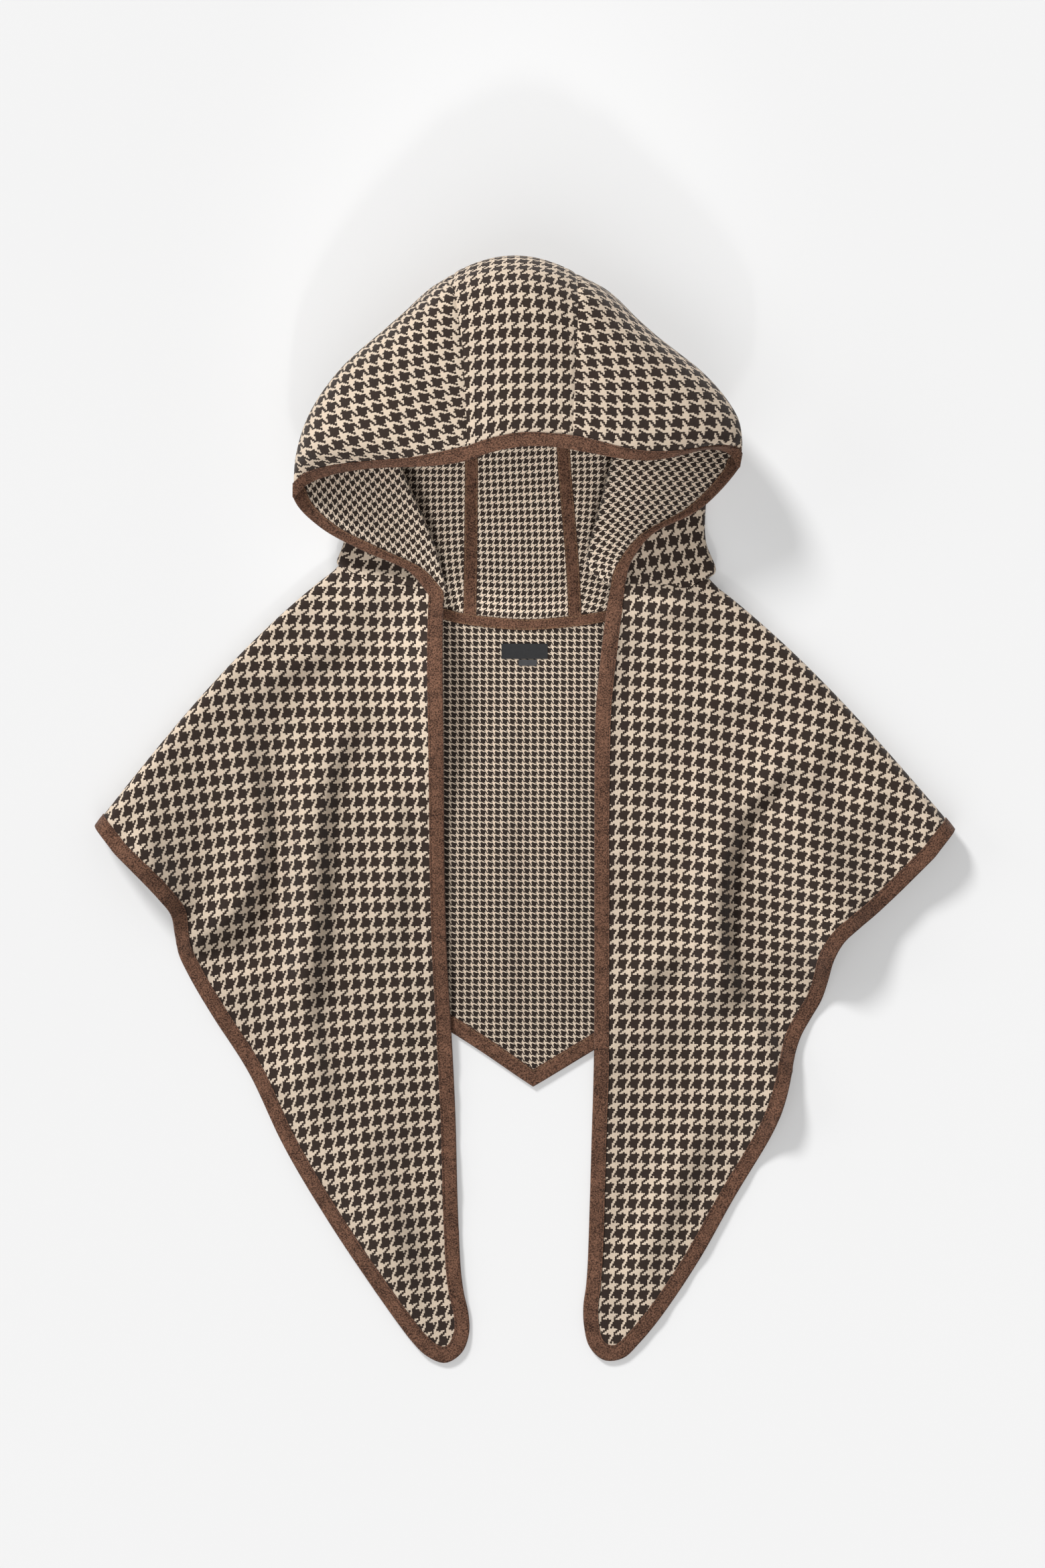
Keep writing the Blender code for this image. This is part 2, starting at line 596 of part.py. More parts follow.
def body_sheet():
    """The one-piece body: flat places, faces, finished edge, first point and count of the cloth's edge."""
    finished = bound_edge(EDGE_SPACING)
    edge = inset(finished, EDGE_COVER / MM)
    ring = inset(finished, (EDGE_COVER + BINDING_WIDTH) / MM)
    rows, places = neck_line()
    along_neck = np.concatenate([places["left"][1:], places["centre"][1:-1], places["right"][::-1][:-1]])
    neck = smooth_rows(rows, along_neck)
    border = np.concatenate([ring, neck[::-1]])
    lattice = lattice_points()
    clear = distance_to_line(lattice, np.concatenate([border, border[:1]]))
    lattice = thinned(lattice[inside(lattice, border) & (clear > BORDER_CLEAR)], POINT_CLEAR)
    every = np.concatenate([border, lattice])
    drawn = delaunay_2d_cdt([Vector(point) for point in every], [], [list(range(len(border)))], 1,
                            1e-5, True)
    source = [origin[0] for origin in drawn[3]]
    faces = np.array([[source[index] for index in face] for face in drawn[2]])
    faces = [tuple(face) for face in faces[inside(every[faces].mean(axis=1), border)].tolist()]
    offset = len(every)
    for step in range(len(edge) - 1):
        faces.append((offset + step, offset + step + 1, step + 1, step))
    flat = np.concatenate([every, edge])
    return flat, faces, finished, offset, len(ring)


def inside(points, border):
    """Which points lie inside a closed border."""
    result = np.zeros(len(points), bool)
    for start, end in zip(border, np.roll(border, -1, axis=0)):
        crosses = (start[1] > points[:, 1]) != (end[1] > points[:, 1])
        rise = end[1] - start[1] if end[1] != start[1] else 1e-9
        level = start[0] + (points[:, 1] - start[1]) * (end[0] - start[0]) / rise
        result ^= crosses & (points[:, 0] < level)
    return result


def thinned(points, least):
    """Points with those dropped that lie closer than a least distance to an earlier one."""
    kept = []
    for point in points:
        if all(abs(point[0] - other[0]) + abs(point[1] - other[1]) > least for other in kept):
            kept.append(point)
    return np.array(kept)


def body_places(flat, finished):
    """Middle-surface places and outward normals at flat-pattern points of the body."""
    distance = distance_to_line(flat, finished)
    step = SLOPE_STEP
    right = body_point(flat + (step, 0), distance) - body_point(flat - (step, 0), distance)
    up = body_point(flat + (0, step), distance) - body_point(flat - (0, step), distance)
    normals = -np.cross(right, up)
    return body_point(flat, distance), normals / np.linalg.norm(normals, axis=1)[:, None]


def bezier(start, lead, tail, end, shares):
    """Points of a cubic curve at shares of its length."""
    t = np.linspace(0, 1, BEZIER_SAMPLES)[:, None]
    dense = (start * (1 - t) ** 3 + 3 * lead * t * (1 - t) ** 2 + 3 * tail * t ** 2 * (1 - t) + end * t ** 3)
    run = np.concatenate([[0], np.cumsum(np.linalg.norm(np.diff(dense, axis=0), axis=1))])
    at = shares(run[-1])
    return np.stack([np.interp(at, run, column) for column in dense.T], axis=1)


def even_shares(count):
    """Equal steps along a curve."""
    return lambda length: np.linspace(0, length, count + 1)


def edge_shares(count):
    """A first step as wide as the binding, then equal steps."""
    width = BINDING_WIDTH / MM
    return lambda length: np.concatenate([
        [0], np.linspace(min(width, length / 2), length, count)])


def hood_section(side, row):
    """One section across a hood side, from the top seam or the lip to the low seam."""
    guides = HOOD_GUIDES[side]
    if row == LAST_ROW:
        # The far seam is shared out the way the section before it is.
        before = hood_section(side, row - 1)
        line = np.concatenate([before[region] for region in SEGMENTS])
        run = np.concatenate([[0], np.cumsum(np.linalg.norm(np.diff(line, axis=0), axis=1))])
        share = run / run[-1] * (len(guides["far_seam"]) - 1)
        done, section = 0, {}
        for region, count in SEGMENTS.items():
            section[region] = smooth_rows(guides["far_seam"], share[done:done + count + 1])
            done += count + 1
        return section
    lip = np.array(guides["lip"][row])
    roll, roll_radius = np.array(guides["roll"][row][:3]), guides["roll"][row][3]
    fold, fold_radius = np.array(guides["fold"][row][:3]), guides["fold"][row][3]
    seam = np.array(guides["seam_low"][row])
    out = np.append(fold[:2] - seam[:2], 0)
    out /= np.linalg.norm(out)
    up = np.array((0, 0, 1.0))
    turn = np.linspace(np.pi / 2, -np.pi / 2, SEGMENTS["roll"] + 1)[:, None]
    nose = roll + roll_radius * ((1 - np.cos(turn)) * out + np.sin(turn) * up)
    turn = np.linspace(np.pi / 2, -np.pi / 2, SEGMENTS["fold"] + 1)[:, None]
    side_fold = fold + fold_radius * ((np.cos(turn) - 1) * out + np.sin(turn) * up)
    reach = np.linalg.norm(lip - nose[0]) / 3
    tail = nose[0] + out * reach
    lead = lip + (tail - lip) / 3
    if row > FACE_ROW:
        lead = lip - up * LIP_DROP
    section = {
        "lapel": bezier(lip, lead, tail, nose[0], edge_shares(SEGMENTS["lapel"])),
        "roll": nose,
        "fold": side_fold,
        "bottom": side_fold[-1] + (seam - side_fold[-1]) * np.linspace(
            0, 1, SEGMENTS["bottom"] + 1)[:, None],
    }
    reach = np.linalg.norm(side_fold[0] - nose[-1]) / 3
    section["middle"] = bezier(nose[-1], nose[-1] + out * reach, side_fold[0] - out * reach,
                               side_fold[0], even_shares(SEGMENTS["middle"]))
    above_lip = lip + up * LIP_RISE
    if row == FACE_ROW:
        rows = guides["face_edge"][:-1] + [tuple(above_lip)]
        crown = smooth_rows(rows, np.linspace(0, len(rows) - 1, SEGMENTS["crown"]))
        section["crown"] = np.concatenate([crown, [lip]])
    if row > FACE_ROW:
        top = np.array(guides["seam_top"][row - FACE_ROW])
        turn = np.linspace(0, np.pi / 2, SEGMENTS["crown"])[:, None]
        crown = top + (above_lip - top) * np.sin(turn)
        crown[:, 2:] = above_lip[2] + (top[2] - above_lip[2]) * np.cos(turn) ** CROWN_FULLNESS
        section["crown"] = np.concatenate([crown, [lip]])
    return section


def hood_side(side, neck_points):
    """Grid of one hood side in millimetres: points by row and column, and the column of the lip."""
    sections = [hood_section(side, row) for row in range(LAST_ROW + 1)]
    order = ("lapel", "roll", "middle", "fold", "bottom")
    under = np.array([np.concatenate([section[order[0]]] + [section[name][1:] for name in order[1:]])
                      for section in sections])
    matched = SEGMENTS["lapel"] + SEGMENTS["roll"]
    under[0, matched:] = neck_points
    crown = np.array([section["crown"] for section in sections[FACE_ROW:]])
    rows = np.array(HOOD_ROWS)
    under_grid = smooth_rows(under, rows)
    crown_grid = smooth_rows(crown, np.maximum(rows - FACE_ROW, 0))
    bound = list(HOOD_ROWS).index(FACE_ROW) + 1
    for column in range(crown.shape[1]):
        line = smooth_rows(crown[:, column], np.linspace(0, 1, LINE_SAMPLES))
        run = np.concatenate([[0], np.cumsum(np.linalg.norm(np.diff(line, axis=0), axis=1))])
        crown_grid[bound, column] = [np.interp(BINDING_WIDTH / MM, run, part) for part in line.T]
    beyond = rows >= FACE_ROW
    under_grid[beyond, 0] = crown_grid[beyond, -1]
    return np.concatenate([crown_grid[:, :-1], under_grid], axis=1), SEGMENTS["crown"]


def seam_path(grid, first_row):
    """Row and column of the points along a hood side's seam, from the neck round to the face edge."""
    rows, columns = grid.shape[0] - 1, grid.shape[1] - 1
    low = [(row, columns) for row in range(rows)]
    far = [(rows, column) for column in range(columns, -1, -1)]
    top = [(row, 0) for row in range(rows - 1, first_row - 1, -1)]
    return low + far + top


def seam_neighbour(place, rows, columns):
    """Grid place next to a seam place, one step into the panel."""
    row, column = place
    if row == rows:
        return (rows - 1, min(max(column, 1), columns - 1))
    return (row, columns - 1) if column == columns else (row, 1)


class Hood:
    """Three panels that share their seam lines: left side, centre strip and right side."""

    def __init__(self):
        """Lay out the three grids, from the neck seam that they share with the body."""
        rows, places = neck_line()
        finished = bound_edge(EDGE_SPACING)
        self.first_row = list(HOOD_ROWS).index(FACE_ROW)
        self.grid, self.neck_normal, self.path = {}, {}, {}
        for side in SIDES:
            neck, neck_normal = body_places(moved_off(rows, places[side]), finished)
            self.grid[side], self.lip = hood_side(side, neck / MM)
            self.path[side] = seam_path(self.grid[side], self.first_row)
            self.neck_normal[side] = neck_normal
        self.centre = self.centre_grid(*body_places(moved_off(rows, places["centre"]), finished))
        self.find_normals()

    def centre_grid(self, neck, neck_normal):
        """Points of the centre strip between the two seams."""
        lines = [np.array([self.grid[side][place] for place in self.path[side]]) for side in SIDES]
        share = np.linspace(0, 1, CENTRE_SEGMENTS + 1)
        grid = lines[0][:, None] * (1 - share)[:, None] + lines[1][:, None] * share[:, None]
        run = np.concatenate([[0], np.cumsum(np.linalg.norm(np.diff(lines[0], axis=0), axis=1))])
        swell = smooth_rows(CENTRE_SWELL, run / run[-1] * (len(CENTRE_SWELL) - 1))
        arch = 4 * share * (1 - share)
        grid[:, :, 1] += swell[:, :1] * arch
        grid[:, :, 2] += swell[:, 1:] * arch
        grid[0] = neck / MM
        self.neck_normal["centre"] = neck_normal
        return grid

    def quads(self, name):
        """Faces of one panel as index quads, outer side first."""
        if name == "centre":
            rows, columns = self.centre.shape[:2]
            return [(row * columns + column, row * columns + column + 1,
                     (row + 1) * columns + column + 1, (row + 1) * columns + column)
                    for row in range(rows - 1) for column in range(columns - 1)]
        rows, columns = self.grid[name].shape[:2]
        faces = []
        for row in range(rows - 1):
            for column in range(columns - 1):
                if row < self.first_row and column < self.lip:
                    continue
                low, high = row * columns + column, (row + 1) * columns + column
                if (row, column) == (self.first_row, self.lip):
                    # The lapel's corner is split the way the binding turns there.
                    faces += [(low, low + 1, high), (low + 1, high + 1, high)]
                else:
                    faces.append((low, low + 1, high + 1, high))
        return faces

    def find_normals(self):
        """Outward normals, shared along the seams so that the walls meet face to face."""
        grids = {"left": self.grid["left"], "right": self.grid["right"], "centre": self.centre}
        self.points = {name: grid.reshape(-1, 3) for name, grid in grids.items()}
        around = {name: faces_around(self.points[name], self.quads(name)) for name in grids}
        for name in ("left", "centre"):
            around[name] = [[-facet for facet in facets] for facets in around[name]]
        columns = self.centre.shape[1]
        for side, column in (("left", 0), ("right", columns - 1)):
            width = self.grid[side].shape[1]
            for step, (row, place) in enumerate(self.path[side]):
                one, other = row * width + place, step * columns + column
                shared = around[side][one] + around["centre"][other]
                around[side][one] = around["centre"][other] = shared
        blank = np.array((0.0, 0.0, 1.0))
        self.normals = {name: np.array([balanced(facets) if facets else blank for facets in around[name]])
                        for name in grids}
        matched = self.lip + SEGMENTS["lapel"] + SEGMENTS["roll"]
        for side in SIDES:
            width = self.grid[side].shape[1]
            edge = [row * width + self.lip for row in range(self.first_row)]
            edge += [self.first_row * width + column for column in range(self.lip, 0, -1)]
            self.normals[side][edge] = settled(settled(self.normals[side][edge]))
            self.normals[side][matched:self.grid[side].shape[1]] = self.neck_normal[side]
        self.normals["centre"][:columns] = self.neck_normal["centre"]

    def parted(self, name):
        """Points of one panel in metres, drawn back from its seams."""
        points = self.points[name].copy()
        if name == "centre":
            columns = self.centre.shape[1]
            grid = points.reshape(self.centre.shape)
            for column, inner in ((0, 1), (columns - 1, columns - 2)):
                away = grid[:, inner] - grid[:, column]
                grid[:, column] += SEAM_DRAW_BACK * away / np.linalg.norm(away, axis=1)[:, None]
            return points * MM
        rows, columns = self.grid[name].shape[:2]
        for place in self.path[name]:
            near = seam_neighbour(place, rows - 1, columns - 1)
            index, inner = place[0] * columns + place[1], near[0] * columns + near[1]
            away = self.points[name][inner] - self.points[name][index]
            points[index] += SEAM_DRAW_BACK * away / np.linalg.norm(away)
        return points * MM

    def pressed(self, name):
        """Normals of one panel, shorter along the bound edge, where the cloth is pressed thinner."""
        normals = self.normals[name].copy()
        if name == "centre":
            normals[-self.centre.shape[1]:] *= EDGE_PRESS
            return normals
        grid = normals.reshape(self.grid[name].shape)
        grid[:self.first_row, self.lip] *= EDGE_PRESS
        grid[self.first_row, :self.lip + 1] *= EDGE_PRESS
        grid[self.first_row, self.lip - 1:self.lip + 1] *= CORNER_PRESS
        return normals

    def place(self, name, row, column):
        """Point in metres and outward normal at a grid place of a panel."""
        columns = self.centre.shape[1] if name == "centre" else self.grid[name].shape[1]
        index = row * columns + column
        return self.points[name][index] * MM, self.normals[name][index]

    def face_edge(self):
        """Stations of the face edge, round from the left neck to the right."""
        stations = []
        for side in SIDES:
            top, lip = self.first_row, self.lip
            run = [self.place(side, row, lip) + self.place(side, row, lip + 1) for row in range(top + 1)]
            run += [self.place(side, top, column) + self.place(side, top + 1, column)
                    for column in range(lip, -1, -1)]
            stations.append(run if side == "left" else run[::-1])
        last = self.centre.shape[0] - 1
        middle = [self.place("centre", last, column) + self.place("centre", last - 1, column)
                  for column in range(1, CENTRE_SEGMENTS)]
        return squared(stations[0] + middle + stations[1])

    def tape(self, side):
        """Profiles of the tape inside one seam, from the neck round to the face edge."""
        rows, columns = self.grid[side].shape[:2]
        inner = 1 if side == "left" else CENTRE_SEGMENTS - 1
        low, high = HALF + TAPE_CLEARANCE, HALF + TAPE_CLEARANCE + TAPE_THICK
        path = self.path[side]
        seam = np.array([self.place(side, *place)[0] for place in path])
        normal = np.array([self.place(side, *place)[1] for place in path])
        run = np.gradient(seam, axis=0)
        run /= np.linalg.norm(run, axis=1)[:, None]
        ends = []
        for near in ([self.place(side, *seam_neighbour(place, rows - 1, columns - 1)) for place in path],
                     [self.place("centre", step, inner) for step in range(len(path))]):
            away = np.array([point for point, _ in near]) - seam
            bend = np.array([turn for _, turn in near])
            square = away - run * (away * run).sum(1)[:, None]
            share = TAPE_WIDTH / 2 / np.linalg.norm(square, axis=1)[:, None]
            share = np.minimum(share, TAPE_SHARE_LIMIT)
            turned = normal + (bend - normal) * share
            turned /= np.linalg.norm(turned, axis=1)[:, None]
            ends.append((seam + away * share, turned))
        (a, na), (b, nb) = ends
        return np.stack([a - na * high, seam - normal * high, b - nb * high,
                         b - nb * low, seam - normal * low, a - na * low], axis=1)


def settled(directions):
    """Unit directions evened out between neighbours along a line."""
    ends = np.concatenate([directions[:1], directions, directions[-1:]])
    evened = ends[:-2] + 2 * ends[1:-1] + ends[2:]
    return evened / np.linalg.norm(evened, axis=1)[:, None]


def squared(run):
    """Stations with their outward directions set square to the edge and to the cloth's normal."""
    edge = np.array([station[0] for station in run])
    step = np.diff(edge, axis=0)
    size = np.linalg.norm(step, axis=1)[:, None]
    same = size[:, 0] < SEAM_GAP
    step = step / np.maximum(size, SEAM_GAP)
    before = np.concatenate([step[:1], step])
    after = np.concatenate([step, step[-1:]])
    # Where two stations share one edge place, both take the direction of the edge on either side.
    for index in np.flatnonzero(same):
        after[index] = after[index + 1]
        before[index + 1] = before[index]
    along = before + after
    along /= np.linalg.norm(along, axis=1)[:, None]
    stations = []
    for index, (place, normal, inner, inner_normal) in enumerate(run):
        out = np.cross(along[index], normal)
        out /= np.linalg.norm(out)
        if out @ (place - inner) < 0:
            out = -out
        stations.append((place, normal, inner, inner_normal, out))
    for index in np.flatnonzero(same):
        for one, way in ((index, -1), (index + 1, 1)):
            place, normal, inner, inner_normal, out = stations[one]
            stations[one] = (place + along[one] * way * CORNER_STEP, normal, inner, inner_normal, out)
    return stations


def binding(name, stations):
    """Binding folded over an edge: edge and inset places, their normals and the outward direction."""
    near = HALF + SEAM_GAP
    far = near + BINDING_THICK
    near_edge = HALF * EDGE_PRESS + SEAM_GAP
    far_edge = near_edge + BINDING_THICK
    profiles = []
    for edge, edge_normal, inner, inner_normal, out in stations:
        small, large = edge + out * EDGE_SPACE, edge + out * EDGE_COVER
        profiles.append([
            inner + inner_normal * far, large + edge_normal * far_edge,
            large - edge_normal * far_edge, inner - inner_normal * far,
            inner - inner_normal * near, small - edge_normal * near_edge,
            small + edge_normal * near_edge, inner + inner_normal * near])
    guide = [[inner, edge, edge, inner, inner, edge, edge, inner] for edge, _, inner, _, _ in stations]
    return swept(name, profiles, "suede", guide)


def flat_strip(name, line, width, low, high, finish):
    """Strip of tape lying flat along a line seen from above."""
    run = np.gradient(line, axis=0)
    run /= np.linalg.norm(run, axis=1)[:, None]
    across = np.column_stack([-run[:, 1], run[:, 0]]) * width / 2
    profiles = [[(*(point - side), low), (*(point + side), low), (*(point + side), high),
                 (*(point - side), high)] for point, side in zip(line, across)]
    return swept(name, profiles, finish)


def patch(name, centre, size, low, finish):
    """Small flat woven piece lying on the back panel."""
    half_x, half_y = size[0] / 2, size[1] / 2
    profiles = [[(x, centre[1] - half_y, low), (x, centre[1] + half_y, low),
                 (x, centre[1] + half_y, low + size[2]), (x, centre[1] - half_y, low + size[2])]
                for x in (centre[0] - half_x, centre[0] + half_x)]
    return swept(name, profiles, finish)


def build():
    """Make every piece of the cape."""
    flat, faces, finished, offset, ring_count = body_sheet()
    points, normals = body_places(flat, finished)
    normals = surface_normals(points, faces, normals)
    pressed = normals.copy()
    pressed[offset:] *= EDGE_PRESS
    Sheet(points, pressed, faces).solid("cape_body", "wool")
    stations = [(points[offset + step], normals[offset + step], points[step], normals[step],
                 (points[offset + step] - points[step]) / BINDING_WIDTH) for step in range(ring_count)]
    binding("body_binding", stations)
    hood = Hood()
    for name in ("left", "right", "centre"):
        Sheet(hood.parted(name), hood.pressed(name), hood.quads(name)).solid("hood_" + name, "wool")
    binding("hood_binding", hood.face_edge())
    for side in SIDES:
        profiles = hood.tape(side)
        start = profiles[0] + (profiles[1] - profiles[0]) * TAPE_START
        end = profiles[-2] + (profiles[-3] - profiles[-2]) * np.array(TAPE_END)[:, None]
        swept("hood_tape_" + side, np.concatenate([[start], profiles[1:-2], [end]]), "suede")
    rows, places = neck_line()
    back = np.concatenate([places["left"][-SEGMENTS["bottom"]:], places["centre"][1:-1],
                           places["right"][-SEGMENTS["bottom"]:][::-1]])
    line = smooth_rows(rows, back) * MM
    low = WALL + TAPE_CLEARANCE
    flat_strip("neck_tape", line, NECK_TAPE_WIDTH, low, low + TAPE_THICK, "suede")
    low = WALL + SEAM_GAP
    patch("label", LABEL_CENTRE, LABEL_SIZE, low, "label")
    patch("size_tab", TAB_CENTRE, TAB_SIZE, low, "tab")


for old in list(bpy.data.objects):
    bpy.data.objects.remove(old, do_unlink=True)
build()
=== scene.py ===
"""Hooded cape of double-faced wool laid flat on its back: the looks of every piece.

The cloth follows the same named measures as the solids, at a finer spacing and with its small creases.
Tables and sums are in millimetres, and a mesh gets its metres when it is made. +Z is up, +Y points to
the hood, and the origin is on the surface below the middle of the cape.
"""
import logging
import math
from dataclasses import dataclass, field
from enum import Enum

import bpy
import numpy as np
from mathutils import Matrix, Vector
from mathutils.geometry import delaunay_2d_cdt
from mathutils.kdtree import KDTree


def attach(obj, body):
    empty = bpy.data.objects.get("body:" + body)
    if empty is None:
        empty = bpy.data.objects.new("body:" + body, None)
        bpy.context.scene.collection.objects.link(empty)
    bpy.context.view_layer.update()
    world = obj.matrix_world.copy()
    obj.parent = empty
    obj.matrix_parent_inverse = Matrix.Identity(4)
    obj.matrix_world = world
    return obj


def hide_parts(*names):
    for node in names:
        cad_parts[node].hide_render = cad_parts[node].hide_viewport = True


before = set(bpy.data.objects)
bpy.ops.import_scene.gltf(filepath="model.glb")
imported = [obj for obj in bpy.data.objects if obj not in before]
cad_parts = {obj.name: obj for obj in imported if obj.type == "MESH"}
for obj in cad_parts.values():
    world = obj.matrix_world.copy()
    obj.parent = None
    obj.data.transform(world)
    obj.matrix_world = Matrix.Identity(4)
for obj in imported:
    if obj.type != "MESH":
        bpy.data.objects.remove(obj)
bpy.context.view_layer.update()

LOG = logging.getLogger("hooded_cape")
MM = 0.001
BODY = "root"
CLOTH_MAP = "cloth"

# Cloth, bindings and tapes, in millimetres
HALF_WALL = 1.0
SEAM_GAP = 0.3
BINDING_WIDTH = 11.0
BINDING_THICK = 0.8
EDGE_SPACE = 0.5
EDGE_COVER = EDGE_SPACE + BINDING_THICK
EDGE_PRESS = 0.6
TAPE_WIDTH = 11.0
NECK_TAPE_WIDTH = 9.0
TAPE_THICK = 0.7
TAPE_CLEARANCE = 0.5
OVER_BACK = 4.8
NECK_RISE = 2.2
NECK_RISE_FROM = 110.0
NECK_RISE_OVER = 60.0
DROP_START = 6.0
DROP_LENGTH = 34.0
RISE_FROM = 12.0
RISE_OVER = 18.0
EDGE_STATION = 17.0
EDGE_SPACING = 3.5
LINE_STEP = 1.0
SEAM_OFFSET = 0.48
STITCH_LIFT = 0.12
TABLE_STEPS = 24
NECK_STEPS = 2000

# Shoulder folds: the neck end and the hem end of each, how far the fold bows out, and the radius of
# the roll at the neck, halfway and at the hem.
SHOULDERS = {
    "left": {"neck": (-158, 194), "hem": (-353, -15), "bow": 9.5, "roll": (5.5, 8, 11.5)},
    "right": {"neck": (159, 181), "hem": (353, -17), "bow": 7.5, "roll": (5.5, 8.5, 11.5)},
}
BOW_REACH = 55.0
ROLL_FADE = (46, 78)

# Finished outline of each front seen from above, from the neck down the front edge, round the tip
# and up the hem to the shoulder: x, y.
FRONT_OUTLINE = {
    "left": [
        (-66.5, 178), (-67, 120), (-66.3, 60), (-65.6, -40), (-63.5, -120),
        (-59.5, -190), (-56.6, -253), (-54.6, -330), (-51.5, -385), (-46, -413),
        (-46.5, -435), (-56, -450), (-68.5, -453.5), (-82, -446.5), (-98, -429),
        (-130, -384), (-165, -331), (-198, -275), (-226, -216), (-256, -169),
        (-276, -135), (-287, -109), (-287, -92), (-300, -73), (-318, -54),
        (-336, -36),
    ],
    "right": [
        (71, 186), (66, 156), (60.5, 108), (57.6, 60), (57.2, -66),
        (57, -190), (54.8, -275), (51.6, -375), (48, -411), (51.5, -436),
        (60, -448.5), (73, -452.4), (86, -445.5), (111, -417), (143, -369.5),
        (172, -318), (203, -266), (216, -232), (225, -190), (245, -153),
        (253, -125), (264, -106), (283, -90), (310, -65), (336, -39),
    ],
}

# Hem of the back seen from above, from the left shoulder to the right: x, y.
BACK_HEM = [
    (-318, -35), (-250, -73), (-150, -130), (-58, -183.5), (7, -227),
    (70, -189), (150, -142), (250, -82), (318, -41),
]
BACK_POINT_ROW = 4

# Neck seam seen from above, from the left front edge round the back neck to the right: x, y.
NECK_FRONT = {
    "left": [(-66.5, 178), (-88, 182), (-112, 187), (-136, 191.5)],
    "right": [(71, 186), (92, 185.5), (114, 185), (137, 183.5)],
}
NECK_BACK = [
    (-134, 183), (-100, 172), (-70, 162.5), (-45, 156.5), (0, 152.5),
    (41.5, 155.5), (75, 161), (105, 167.5), (134, 173.5),
]

# Long soft folds of the fronts, as the solids have them: start x, y, end x, y, height at each end and
# half width.
FOLDS = {
    "left": [
        (-340, -30, -300, -72, 6, 17, 26),
        (-300, -66, -232, 30, 9, 3, 34),
        (-200, 40, -199, -118, -1.5, -4, 13),
        (-175, 20, -178, -125, 3, 4.5, 15),
        (-152, -10, -146, -135, -1.5, -2, 12),
        (-110, 60, -104, -210, 1, 2, 26),
        (-120, -300, -96, -392, 1, 2, 18),
    ],
    "right": [
        (263, -112, 212, 40, 33, 7, 33),
        (300, -74, 262, -20, 8, 4, 28),
        (216, -246, 158, -176, 21, 3, 28),
        (152, 40, 158, -130, 3, 8, 19),
        (178, 10, 178, -158, -7, -8, 12),
        (96, 90, 98, -250, 1, 2, 28),
        (128, -300, 92, -395, 1.5, 2, 20),
    ],
}
FOLD_END_FADE = 26.0
FOLD_CLEAR_OF_ROLL = 30.0

